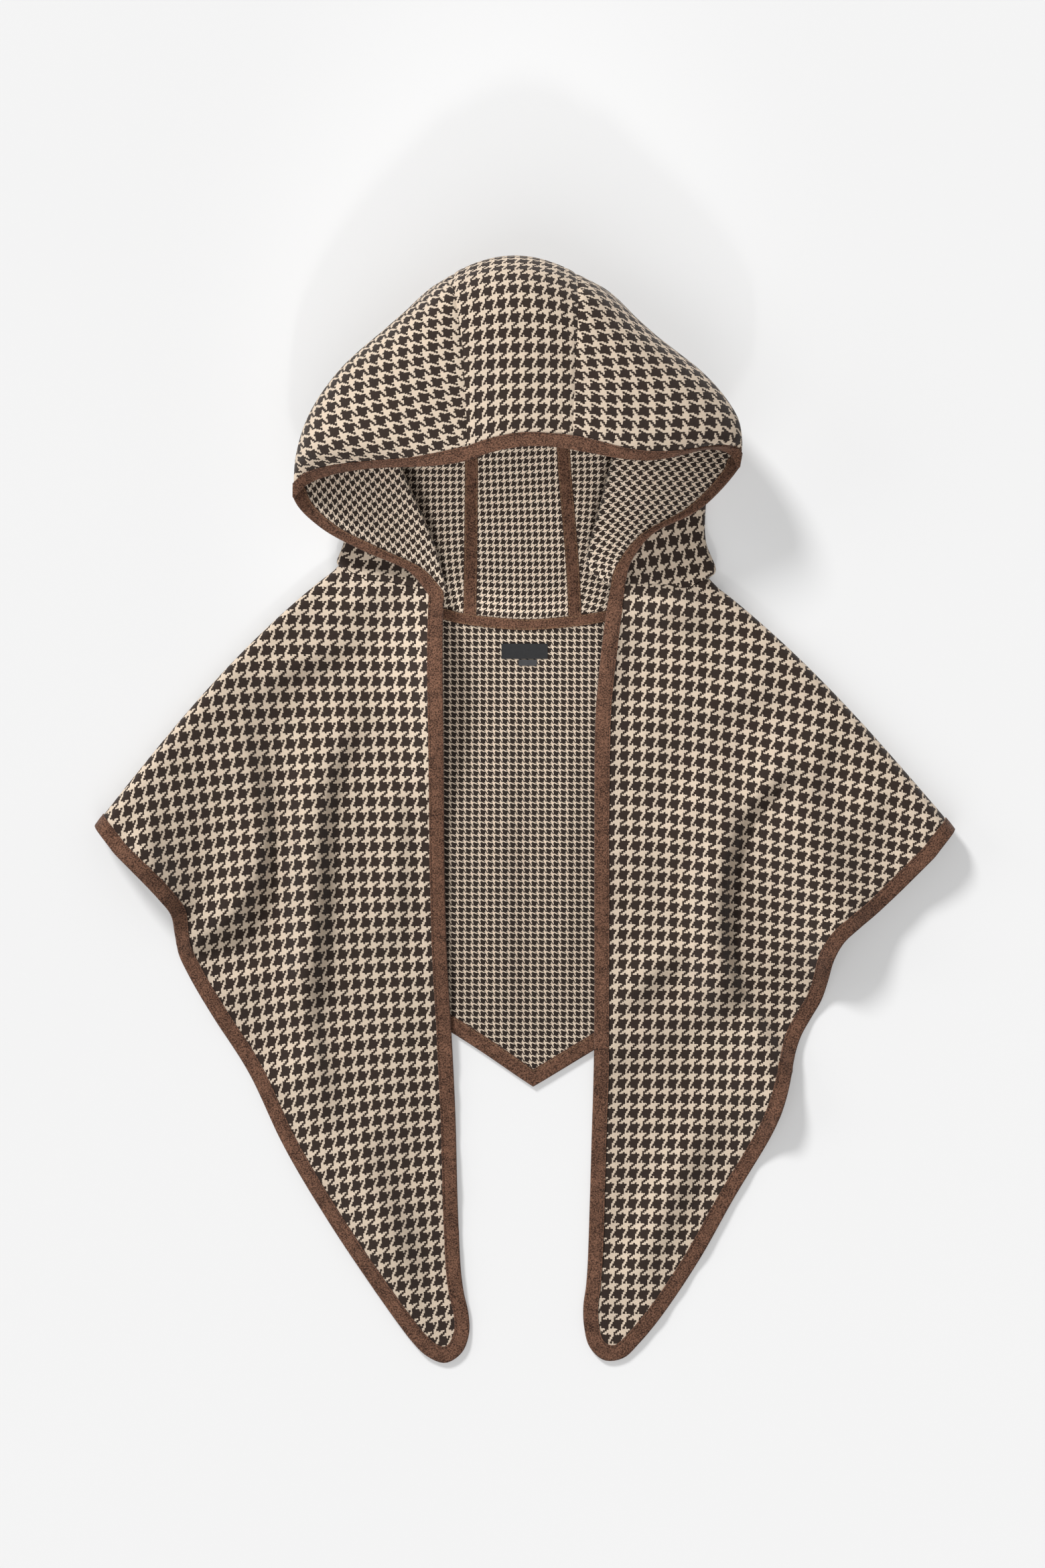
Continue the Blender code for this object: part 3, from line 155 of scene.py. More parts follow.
# Soft creases, which only this cloth shows: the crest's stations, each x, y, height and the half width
# of its lit and of its shaded flank. A path that goes down has its shaded flank on the right. Those of
# the back are on the flat pattern, the others on the plan of their front.
CREASES = {
    "left": [
        [(-240, 78, 0, 22, 11), (-227, 36, 8, 26, 10), (-217, -8, 14, 28, 9), (-219, -42, 17, 28, 8.5),
         (-227, -66, 17, 26, 8.5), (-244, -88, 15, 20, 8.5), (-268, -106, 8, 14, 8), (-284, -112, 0, 10, 8)],
        [(-124, 90, 0, 20, 11), (-148, 60, 8, 24, 9), (-163, 24, 12, 26, 9), (-170, -16, 14, 26, 9),
         (-172, -60, 15, 26, 9), (-174, -104, 14, 24, 9), (-179, -143, 12, 24, 9), (-177, -182, 10, 22, 9),
         (-169, -225, 7, 20, 10), (-158, -266, 0, 18, 11)],
        [(-310, 30, 0, 12, 10), (-309, 8, 5, 13, 10), (-311, -15, 6, 14, 10), (-306, -45, 5, 12, 9),
         (-296, -66, 0, 10, 8)],
        [(-128, 146, 0, 14, 9), (-150, 136, 5, 16, 9), (-178, 124, 6.5, 16, 9), (-205, 112, 5, 14, 9),
         (-225, 100, 0, 12, 9)],
        [(-108, 30, 0, 14, 9), (-106, 0, 3.6, 16, 9), (-105, -40, 4.5, 16, 9), (-106, -80, 3, 15, 9),
         (-104, -120, 0, 14, 9)],
        [(-70, 186, 2, 24, 30), (-70, 166, 8, 26, 30), (-70, 138, 23, 28, 30), (-71, 100, 23, 28, 30),
         (-72, 60, 15, 26, 26), (-73, 22, 7, 22, 20), (-75, -20, 0, 20, 16)],
        [(-140, -250, 0, 16, 14), (-132, -290, 5, 18, 14), (-118, -330, 7, 18, 15), (-98, -375, 6, 16, 14),
         (-84, -414, 0, 14, 10)],
        [(-90, 172, 1, 14, 16), (-110, 176, 6, 16, 18), (-135, 178, 8, 16, 18), (-156, 172, 5, 14, 16),
         (-176, 158, 0, 12, 14)],
        [(-250, -150, 0, 12, 9), (-232, -141, 3, 13, 9), (-210, -128, 2.4, 13, 9), (-190, -112, 0, 12, 9)],
        [(-215, -232, 0, 12, 9), (-190, -214, 3, 14, 10), (-160, -190, 0, 12, 10)],
        [(-196, -190, 0, 22, 60), (-176, -240, 7, 22, 70), (-150, -300, 9, 22, 70),
         (-124, -352, 7, 20, 50), (-100, -396, 0, 16, 30)],
    ],
    "right": [
        [(230, 42, 0, 18, 9), (205, 26, 10, 22, 8), (183, 4, 14, 26, 8), (169, -28, 15, 28, 8),
         (159, -65, 15, 28, 8), (159, -105, 15, 28, 8), (167, -137, 15, 24, 8), (183, -168, 13, 20, 8),
         (202, -197, 8, 16, 8), (216, -216, 0, 12, 9)],
        [(142, -104, 0, 12, 9), (122, -118, 6, 14, 11), (104, -133, 7.5, 15, 12), (88, -150, 5, 14, 11),
         (76, -165, 0, 12, 9)],
        [(152, 44, 0, 14, 9), (141, 10, 3.4, 15, 9), (129, -25, 4, 15, 9), (118, -60, 0, 14, 9)],
        [(74, 186, 3, 14, 15), (70, 160, 9, 14, 15), (66, 120, 8, 14, 15), (63, 80, 5, 14, 14),
         (62, 40, 2, 12, 13), (61, 8, 0, 12, 12)],
        [(194, 150, 0, 12, 12), (177, 160, 8, 13, 12), (152, 166, 15, 14, 13), (120, 168, 15, 14, 13),
         (96, 170, 10, 13, 12), (80, 170, 2, 12, 12)],
        [(150, -230, 0, 16, 14), (140, -270, 5, 18, 14), (122, -310, 7, 18, 15), (104, -350, 6, 16, 14),
         (84, -398, 0, 14, 10)],
        [(250, 70, 0, 16, 12), (238, 40, 4, 18, 12), (232, 6, 3.4, 18, 12), (236, -26, 0, 16, 12)],
        [(300, 30, 0, 14, 12), (286, 8, 4, 16, 12), (276, -20, 0, 14, 12)],
        [(212, 112, 0, 14, 9), (188, 96, 3.4, 15, 10), (160, 88, 3, 15, 10), (138, 84, 0, 14, 9)],
    ],
    "back": [
        [(-14, 96, 0, 16, 8), (-14, 50, 2.4, 18, 8), (-16, -50, 3.2, 18, 8), (-14, -140, 2.6, 18, 8),
         (-10, -205, 0, 16, 8)],
        [(36, 84, 0, 16, 9), (37, 10, 2, 17, 9), (34, -90, 2.4, 17, 9), (28, -170, 0, 16, 9)],
    ],
}

# The hood's guides, row by row from the neck to the closed end. Columns: x, y, z, and for roll and
# fold the radius. The lip is the face edge up to FACE_ROW and the side of the crown above it.
HOOD_GUIDES = {
    "left": {
        "lip": [
            (-76.5, 176, 15), (-95, 197, 18), (-131, 213, 27), (-166, 232, 37),
            (-188.4, 257, 45), (-186, 292, 46), (-174, 327, 46),
            (-149, 362, 46), (-113, 394, 46), (-78, 424, 46),
        ],
        "roll": [
            (-64.3, 178.6, 11.9, 2.4), (-69, 198, 10.5, 3), (-76, 222, 13, 4),
            (-85, 243, 16, 4.5), (-96, 268, 19, 5), (-109, 300, 21, 5.5),
            (-122, 330, 22, 6), (-124, 362, 24, 6), (-104, 391, 27, 5),
            (-77.5, 422.5, 30, 1.5),
        ],
        "fold": [
            (-158, 195, 6.5, 5.5), (-153, 205, 6.5, 5.5), (-147.5, 220, 6, 5),
            (-146, 241, 6, 5), (-148, 266, 6, 5), (-150, 297, 6.5, 5.5),
            (-146, 330, 7, 6), (-134, 362, 7.5, 6.5), (-107, 392, 8, 7),
            (-77, 421, 8, 4),
        ],
        "seam_low": [
            (-45, 156.5, 1), (-44.6, 184, 1), (-44.2, 214, 1), (-43.9, 243, 1),
            (-43.6, 271, 1), (-43.6, 300, 1), (-44.5, 332, 1), (-46, 363, 1),
            (-48, 391, 1), (-50, 413, 1.6),
        ],
        "seam_top": [
            (-47, 286.5, 104), (-47.2, 312, 107), (-48.5, 340, 109), (-50, 368, 108),
            (-52.5, 393, 105), (-56, 415, 98),
        ],
        "face_edge": [
            (-47, 286.5, 104), (-66, 283.5, 99.5), (-87, 282, 93), (-113, 281.5, 84),
            (-138, 279.5, 74), (-161, 275, 62.5), (-179, 267.5, 52), (-188.4, 257, 45),
        ],
        "far_seam": [(-59.5, 430, 84), (-58.5, 437.5, 66), (-57, 439, 46),
                     (-54.5, 437, 26), (-52, 430, 9)],
    },
    "right": {
        "lip": [
            (81, 184, 13.6), (87, 205, 22), (106, 228, 34), (144, 248, 49),
            (174.8, 281.5, 58.5), (177, 303, 59), (171, 326, 57), (147, 356, 53),
            (106, 389, 49), (68, 423, 47),
        ],
        "roll": [
            (68.8, 186.6, 10.4, 2.4), (53, 200, 11, 3), (55, 222, 14, 4),
            (62, 247, 17, 4.5), (69, 276, 20, 5), (77, 303, 22, 5.5),
            (91, 330, 24, 6), (108, 358, 26, 6), (94, 389, 28, 5),
            (67.5, 421.5, 31, 1.5),
        ],
        "fold": [
            (159, 182, 6.5, 5.5), (156, 198, 6.5, 5.5), (148, 220, 6, 5),
            (147.5, 246, 6, 5), (151, 277, 6, 5), (154, 303, 6.5, 5.5),
            (149, 328, 7, 6), (133, 357, 7.5, 6.5), (102, 388, 8, 7),
            (67, 420, 8, 4),
        ],
        "seam_low": [
            (41.5, 155.5, 1), (40.3, 184, 1), (38.4, 214, 1), (35.8, 245, 1),
            (33.2, 275, 1), (31.6, 303, 1), (32.2, 332, 1), (34.4, 361, 1),
            (37, 391, 1), (38.8, 413, 1.6),
        ],
        "seam_top": [
            (39.5, 295.5, 105), (39.8, 317, 108), (40.8, 343, 110), (42, 369, 109),
            (43.3, 394, 106), (43.8, 416, 98.5),
        ],
        "face_edge": [
            (39.5, 295.5, 105), (57, 292.5, 103), (78, 288.5, 99.5), (103, 287, 93.5),
            (127, 291.5, 85.5), (149, 296.5, 77), (167, 293.5, 67), (174.8, 281.5, 58.5),
        ],
        "far_seam": [(43.4, 431, 84.5), (42.5, 437.8, 66), (41, 439, 46),
                     (40, 437, 26), (39.4, 430, 9)],
    },
}
CREASE_REACH = 45.0
CREASE_STEPS = 14

FACE_ROW = 4
LAST_ROW = 10
CROWN_FULLNESS = 0.9
LIP_DROP = 9.0
LIP_RISE = 8.0

# Swell of the hood's centre strip halfway across: y, z, by place along its length from the neck.
CENTRE_SWELL = [(-3, 0), (0, 0), (0, 0), (6, 0), (15, 0), (10, 7), (2, 6),
                (7, 3)]

Colour = tuple[float, float, float]


class Side(Enum):
    """The two halves of the cape, as the viewer sees them."""

    LEFT = "left"
    RIGHT = "right"

    @property
    def sign(self) -> float:
        """Direction of this half along X."""
        return -1.0 if self is Side.LEFT else 1.0


class Slot(Enum):
    """Material slots of the record."""

    WOOL = "wool"
    SUEDE = "suede"
    LABEL = "label"
    TAB = "tab"


# Curves

def smooth_rows(rows: np.ndarray, at: np.ndarray) -> np.ndarray:
    """Catmull-Rom curve through equal steps of a table's rows.

    Args:
        rows: Points of the table, one a row.
        at: Fractional row numbers.

    Returns:
        One point for each row number.
    """
    rows = np.asarray(rows, float)
    at = np.atleast_1d(np.asarray(at, float))
    padded = np.concatenate([[2 * rows[0] - rows[1]], rows, [2 * rows[-1] - rows[-2]]])
    low = np.clip(np.floor(at).astype(int), 0, len(rows) - 2)
    t = (at - low)[(...,) + (None,) * (rows.ndim - 1)]
    before, start, end, after = (padded[low + shift] for shift in range(4))
    return 0.5 * (2 * start + (end - before) * t
                  + (2 * before - 5 * start + 4 * end - after) * t ** 2
                  + (3 * start - before - 3 * end + after) * t ** 3)


def run_length(line: np.ndarray) -> np.ndarray:
    """Length along a polyline at each of its points, from 0."""
    return np.concatenate([[0], np.cumsum(np.linalg.norm(np.diff(line, axis=0), axis=1))])


def at_lengths(line: np.ndarray, lengths: np.ndarray) -> np.ndarray:
    """Points of a polyline at lengths along it."""
    run = run_length(line)
    return np.stack([np.interp(lengths, run, column) for column in line.T], axis=1)


def even_points(rows: list, spacing: float) -> np.ndarray:
    """Evenly spaced points along the smooth curve through a table.

    Args:
        rows: Points of the table.
        spacing: Distance wanted between two points.

    Returns:
        The points, both ends included.
    """
    dense = smooth_rows(rows, np.linspace(0, len(rows) - 1, TABLE_STEPS * len(rows)))
    length = run_length(dense)[-1]
    return at_lengths(dense, np.linspace(0, length, max(2, round(length / spacing)) + 1))


def ease(value: np.ndarray) -> np.ndarray:
    """Smooth step from 0 to 1."""
    value = np.clip(value, 0, 1)
    return value * value * (3 - 2 * value)


def unit(vectors: np.ndarray) -> np.ndarray:
    """Vectors along the last axis at length 1."""
    return vectors / np.maximum(np.linalg.norm(vectors, axis=-1, keepdims=True), 1e-9)


def dent(distance: np.ndarray, depth: float, width: float) -> np.ndarray:
    """Soft groove of a depth and half width at a distance from its line."""
    return -depth * np.exp(-(distance / width) ** 2)


def inset(line: np.ndarray, amount: float) -> np.ndarray:
    """A polyline moved to its left by an amount, mitred at its corners."""
    step = unit(np.diff(line, axis=0))
    left = np.column_stack([-step[:, 1], step[:, 0]])
    after = np.concatenate([left, left[-1:]])
    middle = unit(np.concatenate([left[:1], left]) + after)
    return line + middle * (amount / np.maximum((middle * after).sum(1), 0.5))[:, None]


def inside(points: np.ndarray, border: np.ndarray) -> np.ndarray:
    """Which points lie inside a closed border."""
    result = np.zeros(len(points), bool)
    for start, end in zip(border, np.roll(border, -1, axis=0)):
        crosses = (start[1] > points[:, 1]) != (end[1] > points[:, 1])
        rise = end[1] - start[1] if end[1] != start[1] else 1e-9
        level = start[0] + (points[:, 1] - start[1]) * (end[0] - start[0]) / rise
        result ^= crosses & (points[:, 0] < level)
    return result


def nearest(points: np.ndarray, line: np.ndarray) -> np.ndarray:
    """Distance from plane points to the closest point of a dense line."""
    tree = KDTree(len(line))
    for index, (x, y) in enumerate(line):
        tree.insert((x, y, 0), index)
    tree.balance()
    return np.array([tree.find((x, y, 0))[2] for x, y in points])


# Shader sums

class Value:
    """A number in a shader, which takes part in sums as a plain number does."""

    def __init__(self, nodes: "Nodes", socket: bpy.types.NodeSocket) -> None:
        """Wrap an output socket of a node tree."""
        self.nodes = nodes
        self.socket = socket

    def _sum(self, operation: str, *terms: "Value | float") -> "Value":
        """A Math node on some terms."""
        made = self.nodes.add("ShaderNodeMath", {"operation": operation}, dict(enumerate(terms)))
        return Value(self.nodes, made.outputs[0])

    def __add__(self, other: "Value | float") -> "Value":
        """Sum."""
        return self._sum("ADD", self, other)

    __radd__ = __add__

    def __sub__(self, other: "Value | float") -> "Value":
        """Difference."""
        return self._sum("SUBTRACT", self, other)

    def __rsub__(self, other: float) -> "Value":
        """Difference from a plain number."""
        return self._sum("SUBTRACT", other, self)

    def __mul__(self, other: "Value | float") -> "Value":
        """Product."""
        return self._sum("MULTIPLY", self, other)

    __rmul__ = __mul__

    def __truediv__(self, other: "Value | float") -> "Value":
        """Quotient."""
        return self._sum("DIVIDE", self, other)

    def __lt__(self, other: "Value | float") -> "Value":
        """1 where it is below the other, else 0."""
        return self._sum("LESS_THAN", self, other)

    def __gt__(self, other: "Value | float") -> "Value":
        """1 where it is above the other, else 0."""
        return self._sum("GREATER_THAN", self, other)

    def floor(self) -> "Value":
        """Whole number at or below."""
        return self._sum("FLOOR", self)

    def part(self) -> "Value":
        """What is above the whole number."""
        return self._sum("FRACT", self)

    def sine(self) -> "Value":
        """Sine of an angle in radians."""
        return self._sum("SINE", self)

    def clamped(self) -> "Value":
        """Kept between 0 and 1."""
        return self._sum("MINIMUM", self._sum("MAXIMUM", self, 0.0), 1.0)


class Nodes:
    """Node tree of one new material."""

    SPECULAR = 0.2
    SHEEN_ROUGHNESS = 0.55

    def __init__(self, name: str, roughness: float, sheen: float = 0.0) -> None:
        """Make a material with its constants set on the shader's own sockets."""
        self.material = bpy.data.materials.new(name)
        self.material.use_nodes = True
        self.tree = self.material.node_tree
        self.shader = self.tree.nodes["Principled BSDF"]
        self.shader.inputs["Roughness"].default_value = roughness
        self.shader.inputs["Specular IOR Level"].default_value = self.SPECULAR
        self.shader.inputs["Sheen Weight"].default_value = sheen
        self.shader.inputs["Sheen Roughness"].default_value = self.SHEEN_ROUGHNESS

    def add(self, kind: str, settings: dict | None = None, inputs: dict | None = None) -> bpy.types.Node:
        """Make a node.

        Args:
            kind: Type name of the node.
            settings: Properties, set before the sockets.
            inputs: Socket values or links, by socket name or number.

        Returns:
            The node.
        """
        made = self.tree.nodes.new(kind)
        for name, value in (settings or {}).items():
            setattr(made, name, value)
        for name, value in (inputs or {}).items():
            self.feed(made.inputs[name], value)
        return made

    def feed(self, socket: bpy.types.NodeSocket, value: object) -> None:
        """Link a socket or a Value to an input, or set a plain value on it."""
        source = value.socket if isinstance(value, Value) else value
        if isinstance(source, bpy.types.NodeSocket):
            self.tree.links.new(source, socket)
        elif hasattr(source, "__len__") and len(source) == 3 and socket.type == "RGBA":
            socket.default_value = (*source, 1.0)
        else:
            socket.default_value = source

    def vector(self, operation: str, first: object, second: object) -> bpy.types.NodeSocket:
        """Vector Math node on two vectors."""
        return self.add("ShaderNodeVectorMath", {"operation": operation}, {0: first, 1: second}).outputs[0]

    def noise(self, place: bpy.types.NodeSocket, scale: float, detail: float = 2.0) -> bpy.types.Node:
        """Noise texture at a scale a metre."""
        return self.add("ShaderNodeTexNoise", {}, {"Vector": place, "Scale": scale, "Detail": detail})

    def grey(self, place: bpy.types.NodeSocket, scale: float, detail: float = 2.0) -> Value:
        """Noise as one number about 0.5."""
        return Value(self, self.noise(place, scale, detail).outputs["Fac"])

    def mixed(self, factor: object, first: object, second: object,
              blend: str = "MIX") -> bpy.types.NodeSocket:
        """Mix node on two colours."""
        made = self.add("ShaderNodeMix", {"data_type": "RGBA", "blend_type": blend},
                        {0: factor, 6: first, 7: second})
        return made.outputs[2]

    def finish(self, colour: object, height: Value, relief: float, strength: float) -> bpy.types.Material:
        """Feed the shader's colour and normal.

        Args:
            colour: Base colour socket.
            height: Relief as a number from 0 to 1.
            relief: Height of the relief in metres.
            strength: Strength of the bump.

        Returns:
            The material.
        """
        bump = self.add("ShaderNodeBump", {}, {"Strength": strength, "Distance": relief, "Height": height})
        self.feed(self.shader.inputs["Base Color"], colour)
        self.feed(self.shader.inputs["Normal"], bump.outputs[0])
        return self.material


# Finishes

@dataclass(frozen=True)
class Wool:
    """Brushed houndstooth face of the cloth, woven four dark and four light yarns each way.

    A repeat's size is in millimetres, a noise scale in waves a metre. The fluff is how far the hairs
    carry the check's edges, in yarns.
    """

    name: str
    across: float
    along: float
    mirrored: bool
    light: Colour
    dark: Colour
    dark_share: float = 0.6
    fluff: float = 1.08
    yarns: int = 8
    hair_scale: float = 1500.0
    fibre_scale: float = 2600.0
    patch_scale: float = 38.0
    ground: float = 0.40
    patchiness: float = 0.2
    yarn_height: float = 2.4
    fibre_height: float = 0.7

    def widened(self, place: Value) -> Value:
        """A place counted in repeats, with the dark half of each repeat drawn wider."""
        part = place.part()
        first = part * (0.5 / self.dark_share)
        rest = (part - self.dark_share) * (0.5 / (1 - self.dark_share)) + 0.5
        beyond = self.dark_share < part
        return place.floor() + first + beyond * (rest - first)

    def make(self) -> bpy.types.Material:
        """The material, whose check follows the cloth map in metres."""
        nodes = Nodes(self.name, roughness=0.92, sheen=0.12)
        cloth = nodes.add("ShaderNodeUVMap", {"uv_map": CLOTH_MAP}).outputs[0]
        hairs = nodes.noise(cloth, self.hair_scale, 3.0).outputs["Color"]
        spread = nodes.vector("SUBTRACT", hairs, (0.5, 0.5, 0.5))
        pull = self.fluff / self.yarns * MM
        moved = nodes.vector("MULTIPLY", spread, (self.across * pull, self.along * pull, 0.0))
        brushed = nodes.vector("ADD", cloth, moved)
        turn = -1.0 if self.mirrored else 1.0
        scaled = nodes.vector("MULTIPLY", brushed, (turn / (self.across * MM), 1 / (self.along * MM), 0.0))
        split = nodes.add("ShaderNodeSeparateXYZ", {}, {0: scaled})
        across, along = (self.widened(Value(nodes, split.outputs[axis])) * self.yarns for axis in (0, 1))
        column, row = across.floor() / self.yarns, along.floor() / self.yarns
        warp, weft = column.part() < 0.5, row.part() < 0.5
        # Two-and-two twill: each row shows two yarns of the warp, one yarn further on than the last
        over = ((column - row) * 2).part() < 0.5
        check = weft + over * (warp - weft)
        fibre = nodes.grey(cloth, self.fibre_scale, 3.0)
        patch = nodes.grey(cloth, self.patch_scale)
        shade = self.ground + fibre + patch * self.patchiness
        woven = nodes.mixed(check, self.light, self.dark)
        colour = nodes.mixed(1.0, woven, shade, "MULTIPLY")
        side, rise = across.part(), along.part()
        crown = over * (side * (1 - side)) + (1 - over) * (rise * (1 - rise))
        height = crown * self.yarn_height + fibre * self.fibre_height
        return nodes.finish(colour, height, 0.4 * MM, 0.55)


@dataclass(frozen=True)
class Suede:
    """Matt suede-like tape with a short mottled nap."""

    name: str
    light: Colour
    dark: Colour
    nap_scale: float = 900.0
    nap_contrast: float = 3.2
    cloud_scale: float = 120.0
    cloud_contrast: float = 0.8

    def make(self) -> bpy.types.Material:
        """The material, on Object coordinates."""
        nodes = Nodes(self.name, roughness=0.95, sheen=0.1)
        place = nodes.add("ShaderNodeTexCoord").outputs["Object"]
        nap = nodes.grey(place, self.nap_scale, 4.0)
        cloud = nodes.grey(place, self.cloud_scale)
        share = ((nap - 0.5) * self.nap_contrast + (cloud - 0.5) * self.cloud_contrast + 0.5).clamped()
        return nodes.finish(nodes.mixed(share, self.dark, self.light), nap, 0.35 * MM, 0.6)


@dataclass(frozen=True)
class Thread:
    """Sewing thread with a slight twist."""

    name: str
    tint: Colour
    ply_scale: float = 2200.0
    deepest: float = 0.55

    def make(self) -> bpy.types.Material:
        """The material, on Object coordinates."""
        nodes = Nodes(self.name, roughness=0.6)
        place = nodes.add("ShaderNodeTexCoord").outputs["Object"]
        ply = nodes.grey(place, self.ply_scale, 1.0)
        deep = tuple(part * self.deepest for part in self.tint)
        return nodes.finish(nodes.mixed(ply, deep, self.tint), ply, 0.2 * MM, 0.5)


@dataclass(frozen=True)
class Woven:
    """Fine ribbed ribbon of the label and the tab."""

    name: str
    tint: Colour
    rib: float = 0.45
    pick_ratio: float = 0.8
    rib_share: float = 0.6
    cloud_scale: float = 500.0

    def make(self) -> bpy.types.Material:
        """The material, on Object coordinates."""
        nodes = Nodes(self.name, roughness=0.55, sheen=0.1)
        place = nodes.add("ShaderNodeTexCoord").outputs["Object"]
        split = nodes.add("ShaderNodeSeparateXYZ", {}, {0: place})
        turns = 2 * math.pi / (self.rib * MM)
        ribs = (Value(nodes, split.outputs[1]) * turns).sine() * 0.5 + 0.5
        picks = (Value(nodes, split.outputs[0]) * (turns * self.pick_ratio)).sine() * 0.5 + 0.5
        weave = ribs * self.rib_share + picks * (1 - self.rib_share)
        cloud = nodes.grey(place, self.cloud_scale, 3.0)
        shade = 0.6 + weave * 0.4 + cloud * 0.5
        return nodes.finish(nodes.mixed(1.0, self.tint, shade, "MULTIPLY"), weave, 0.1 * MM, 0.5)


@dataclass(frozen=True)
class Paper:
    """Plain pale floor, which glows a little, as a lit table does."""

    name: str
    tint: Colour
    glow: float
    cloud_scale: float = 3.0
    mottling: float = 0.02

    def make(self) -> bpy.types.Material:
        """The material, with a trace of mottling."""
        nodes = Nodes(self.name, roughness=0.9)
        nodes.shader.inputs["Emission Color"].default_value = (1.0, 1.0, 1.0, 1.0)
        nodes.shader.inputs["Emission Strength"].default_value = self.glow
        place = nodes.add("ShaderNodeTexCoord").outputs["Object"]
        cloud = nodes.grey(place, self.cloud_scale)
        colour = nodes.mixed(1.0, self.tint, 1 - self.mottling / 2 + cloud * self.mottling, "MULTIPLY")
        return nodes.finish(colour, cloud, 0.1 * MM, 0.05)


class Finishes:
    """Every material of the cape, made once."""

    def __init__(self) -> None:
        """Make the materials."""
        self.outer = Wool("wool_large_check", 10.3, 12.4, False, light=(0.635, 0.517, 0.40),
                          dark=(0.029, 0.0175, 0.0125)).make()
        self.inner = Wool("wool_small_check", 5.33, 6.0, True, light=(0.69, 0.565, 0.44),
                          dark=(0.02, 0.012, 0.0085), dark_share=0.65, fluff=0.78).make()
        # Painted light: the hood's inner face is a lighter copy of the small check, so that the inside of the
        # hood looks as bright as the open cloth despite the shade that falls there
        self.hood_inner_painted_light = Wool("wool_small_check_hood_painted_light", 5.33, 6.0, True, light=(0.86, 0.71, 0.56),
                               dark=(0.03, 0.018, 0.013), fluff=0.78).make()
        self.suede = Suede("suede_tape", (0.20, 0.098, 0.06), (0.022, 0.0086, 0.0042)).make()
        self.tan = Thread("thread_tan", (0.36, 0.22, 0.12)).make()
        self.brown = Thread("thread_brown", (0.045, 0.024, 0.016)).make()
        self.label = Woven("label_ribbon", (0.017, 0.017, 0.018)).make()
        self.tab = Woven("tab_ribbon", (0.045, 0.045, 0.047), 0.35).make()


# Meshes

def make_object(name: str, points: np.ndarray, faces: list, materials: list) -> bpy.types.Object:
    """A linked mesh object, with its points in millimetres brought to metres."""
    mesh = bpy.data.meshes.new(name)
    mesh.from_pydata((np.asarray(points) * MM).tolist(), [], faces)
    mesh.validate()
    built = bpy.data.objects.new(name, mesh)
    bpy.context.collection.objects.link(built)
    for material in materials:
        mesh.materials.append(material)
    return built


def choose(built: bpy.types.Object) -> None:
    """Make one object the only one selected, and active."""
    bpy.ops.object.select_all(action="DESELECT")
    built.select_set(True)
    bpy.context.view_layer.objects.active = built


def smooth(built: bpy.types.Object, degrees: float = 48.0) -> bpy.types.Object:
    """Shade smooth, with edges sharper than an angle left crisp."""
    choose(built)
    bpy.ops.object.shade_smooth_by_angle(angle=math.radians(degrees))
    return built


def settle(built: bpy.types.Object, slot: Slot, *nodes: str) -> bpy.types.Object:
    """Attach a finished piece to the body that it rides on, and hide the nodes that it stands for."""
    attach(built, BODY)
    if nodes:
        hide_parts(*nodes)
    LOG.info("%s: %d faces", built.name, len(built.data.polygons))
    return built


def tube(name: str, profiles: np.ndarray, material: bpy.types.Material) -> bpy.types.Object:
    """Closed body through a row of profiles, capped at its ends.

    Args:
        name: Name of the piece.
        profiles: Stations by points by coordinates, in millimetres.
        material: Its finish.

    Returns:
        The object, with its faces outwards.
    """
    stations, around = profiles.shape[:2]
    index = np.arange(stations * around).reshape(stations, around)
    turned = np.roll(index, -1, axis=1)
    quads = np.stack([index[:-1], turned[:-1], turned[1:], index[1:]], axis=-1).reshape(-1, 4)
    faces = quads.tolist() + [index[0, ::-1].tolist(), index[-1].tolist()]
    built = make_object(name, profiles.reshape(-1, 3), faces, [material])
    choose(built)
    bpy.ops.object.mode_set(mode="EDIT")
    bpy.ops.mesh.select_all(action="SELECT")
    bpy.ops.mesh.normals_make_consistent(inside=False)
    bpy.ops.object.mode_set(mode="OBJECT")
    return smooth(built)


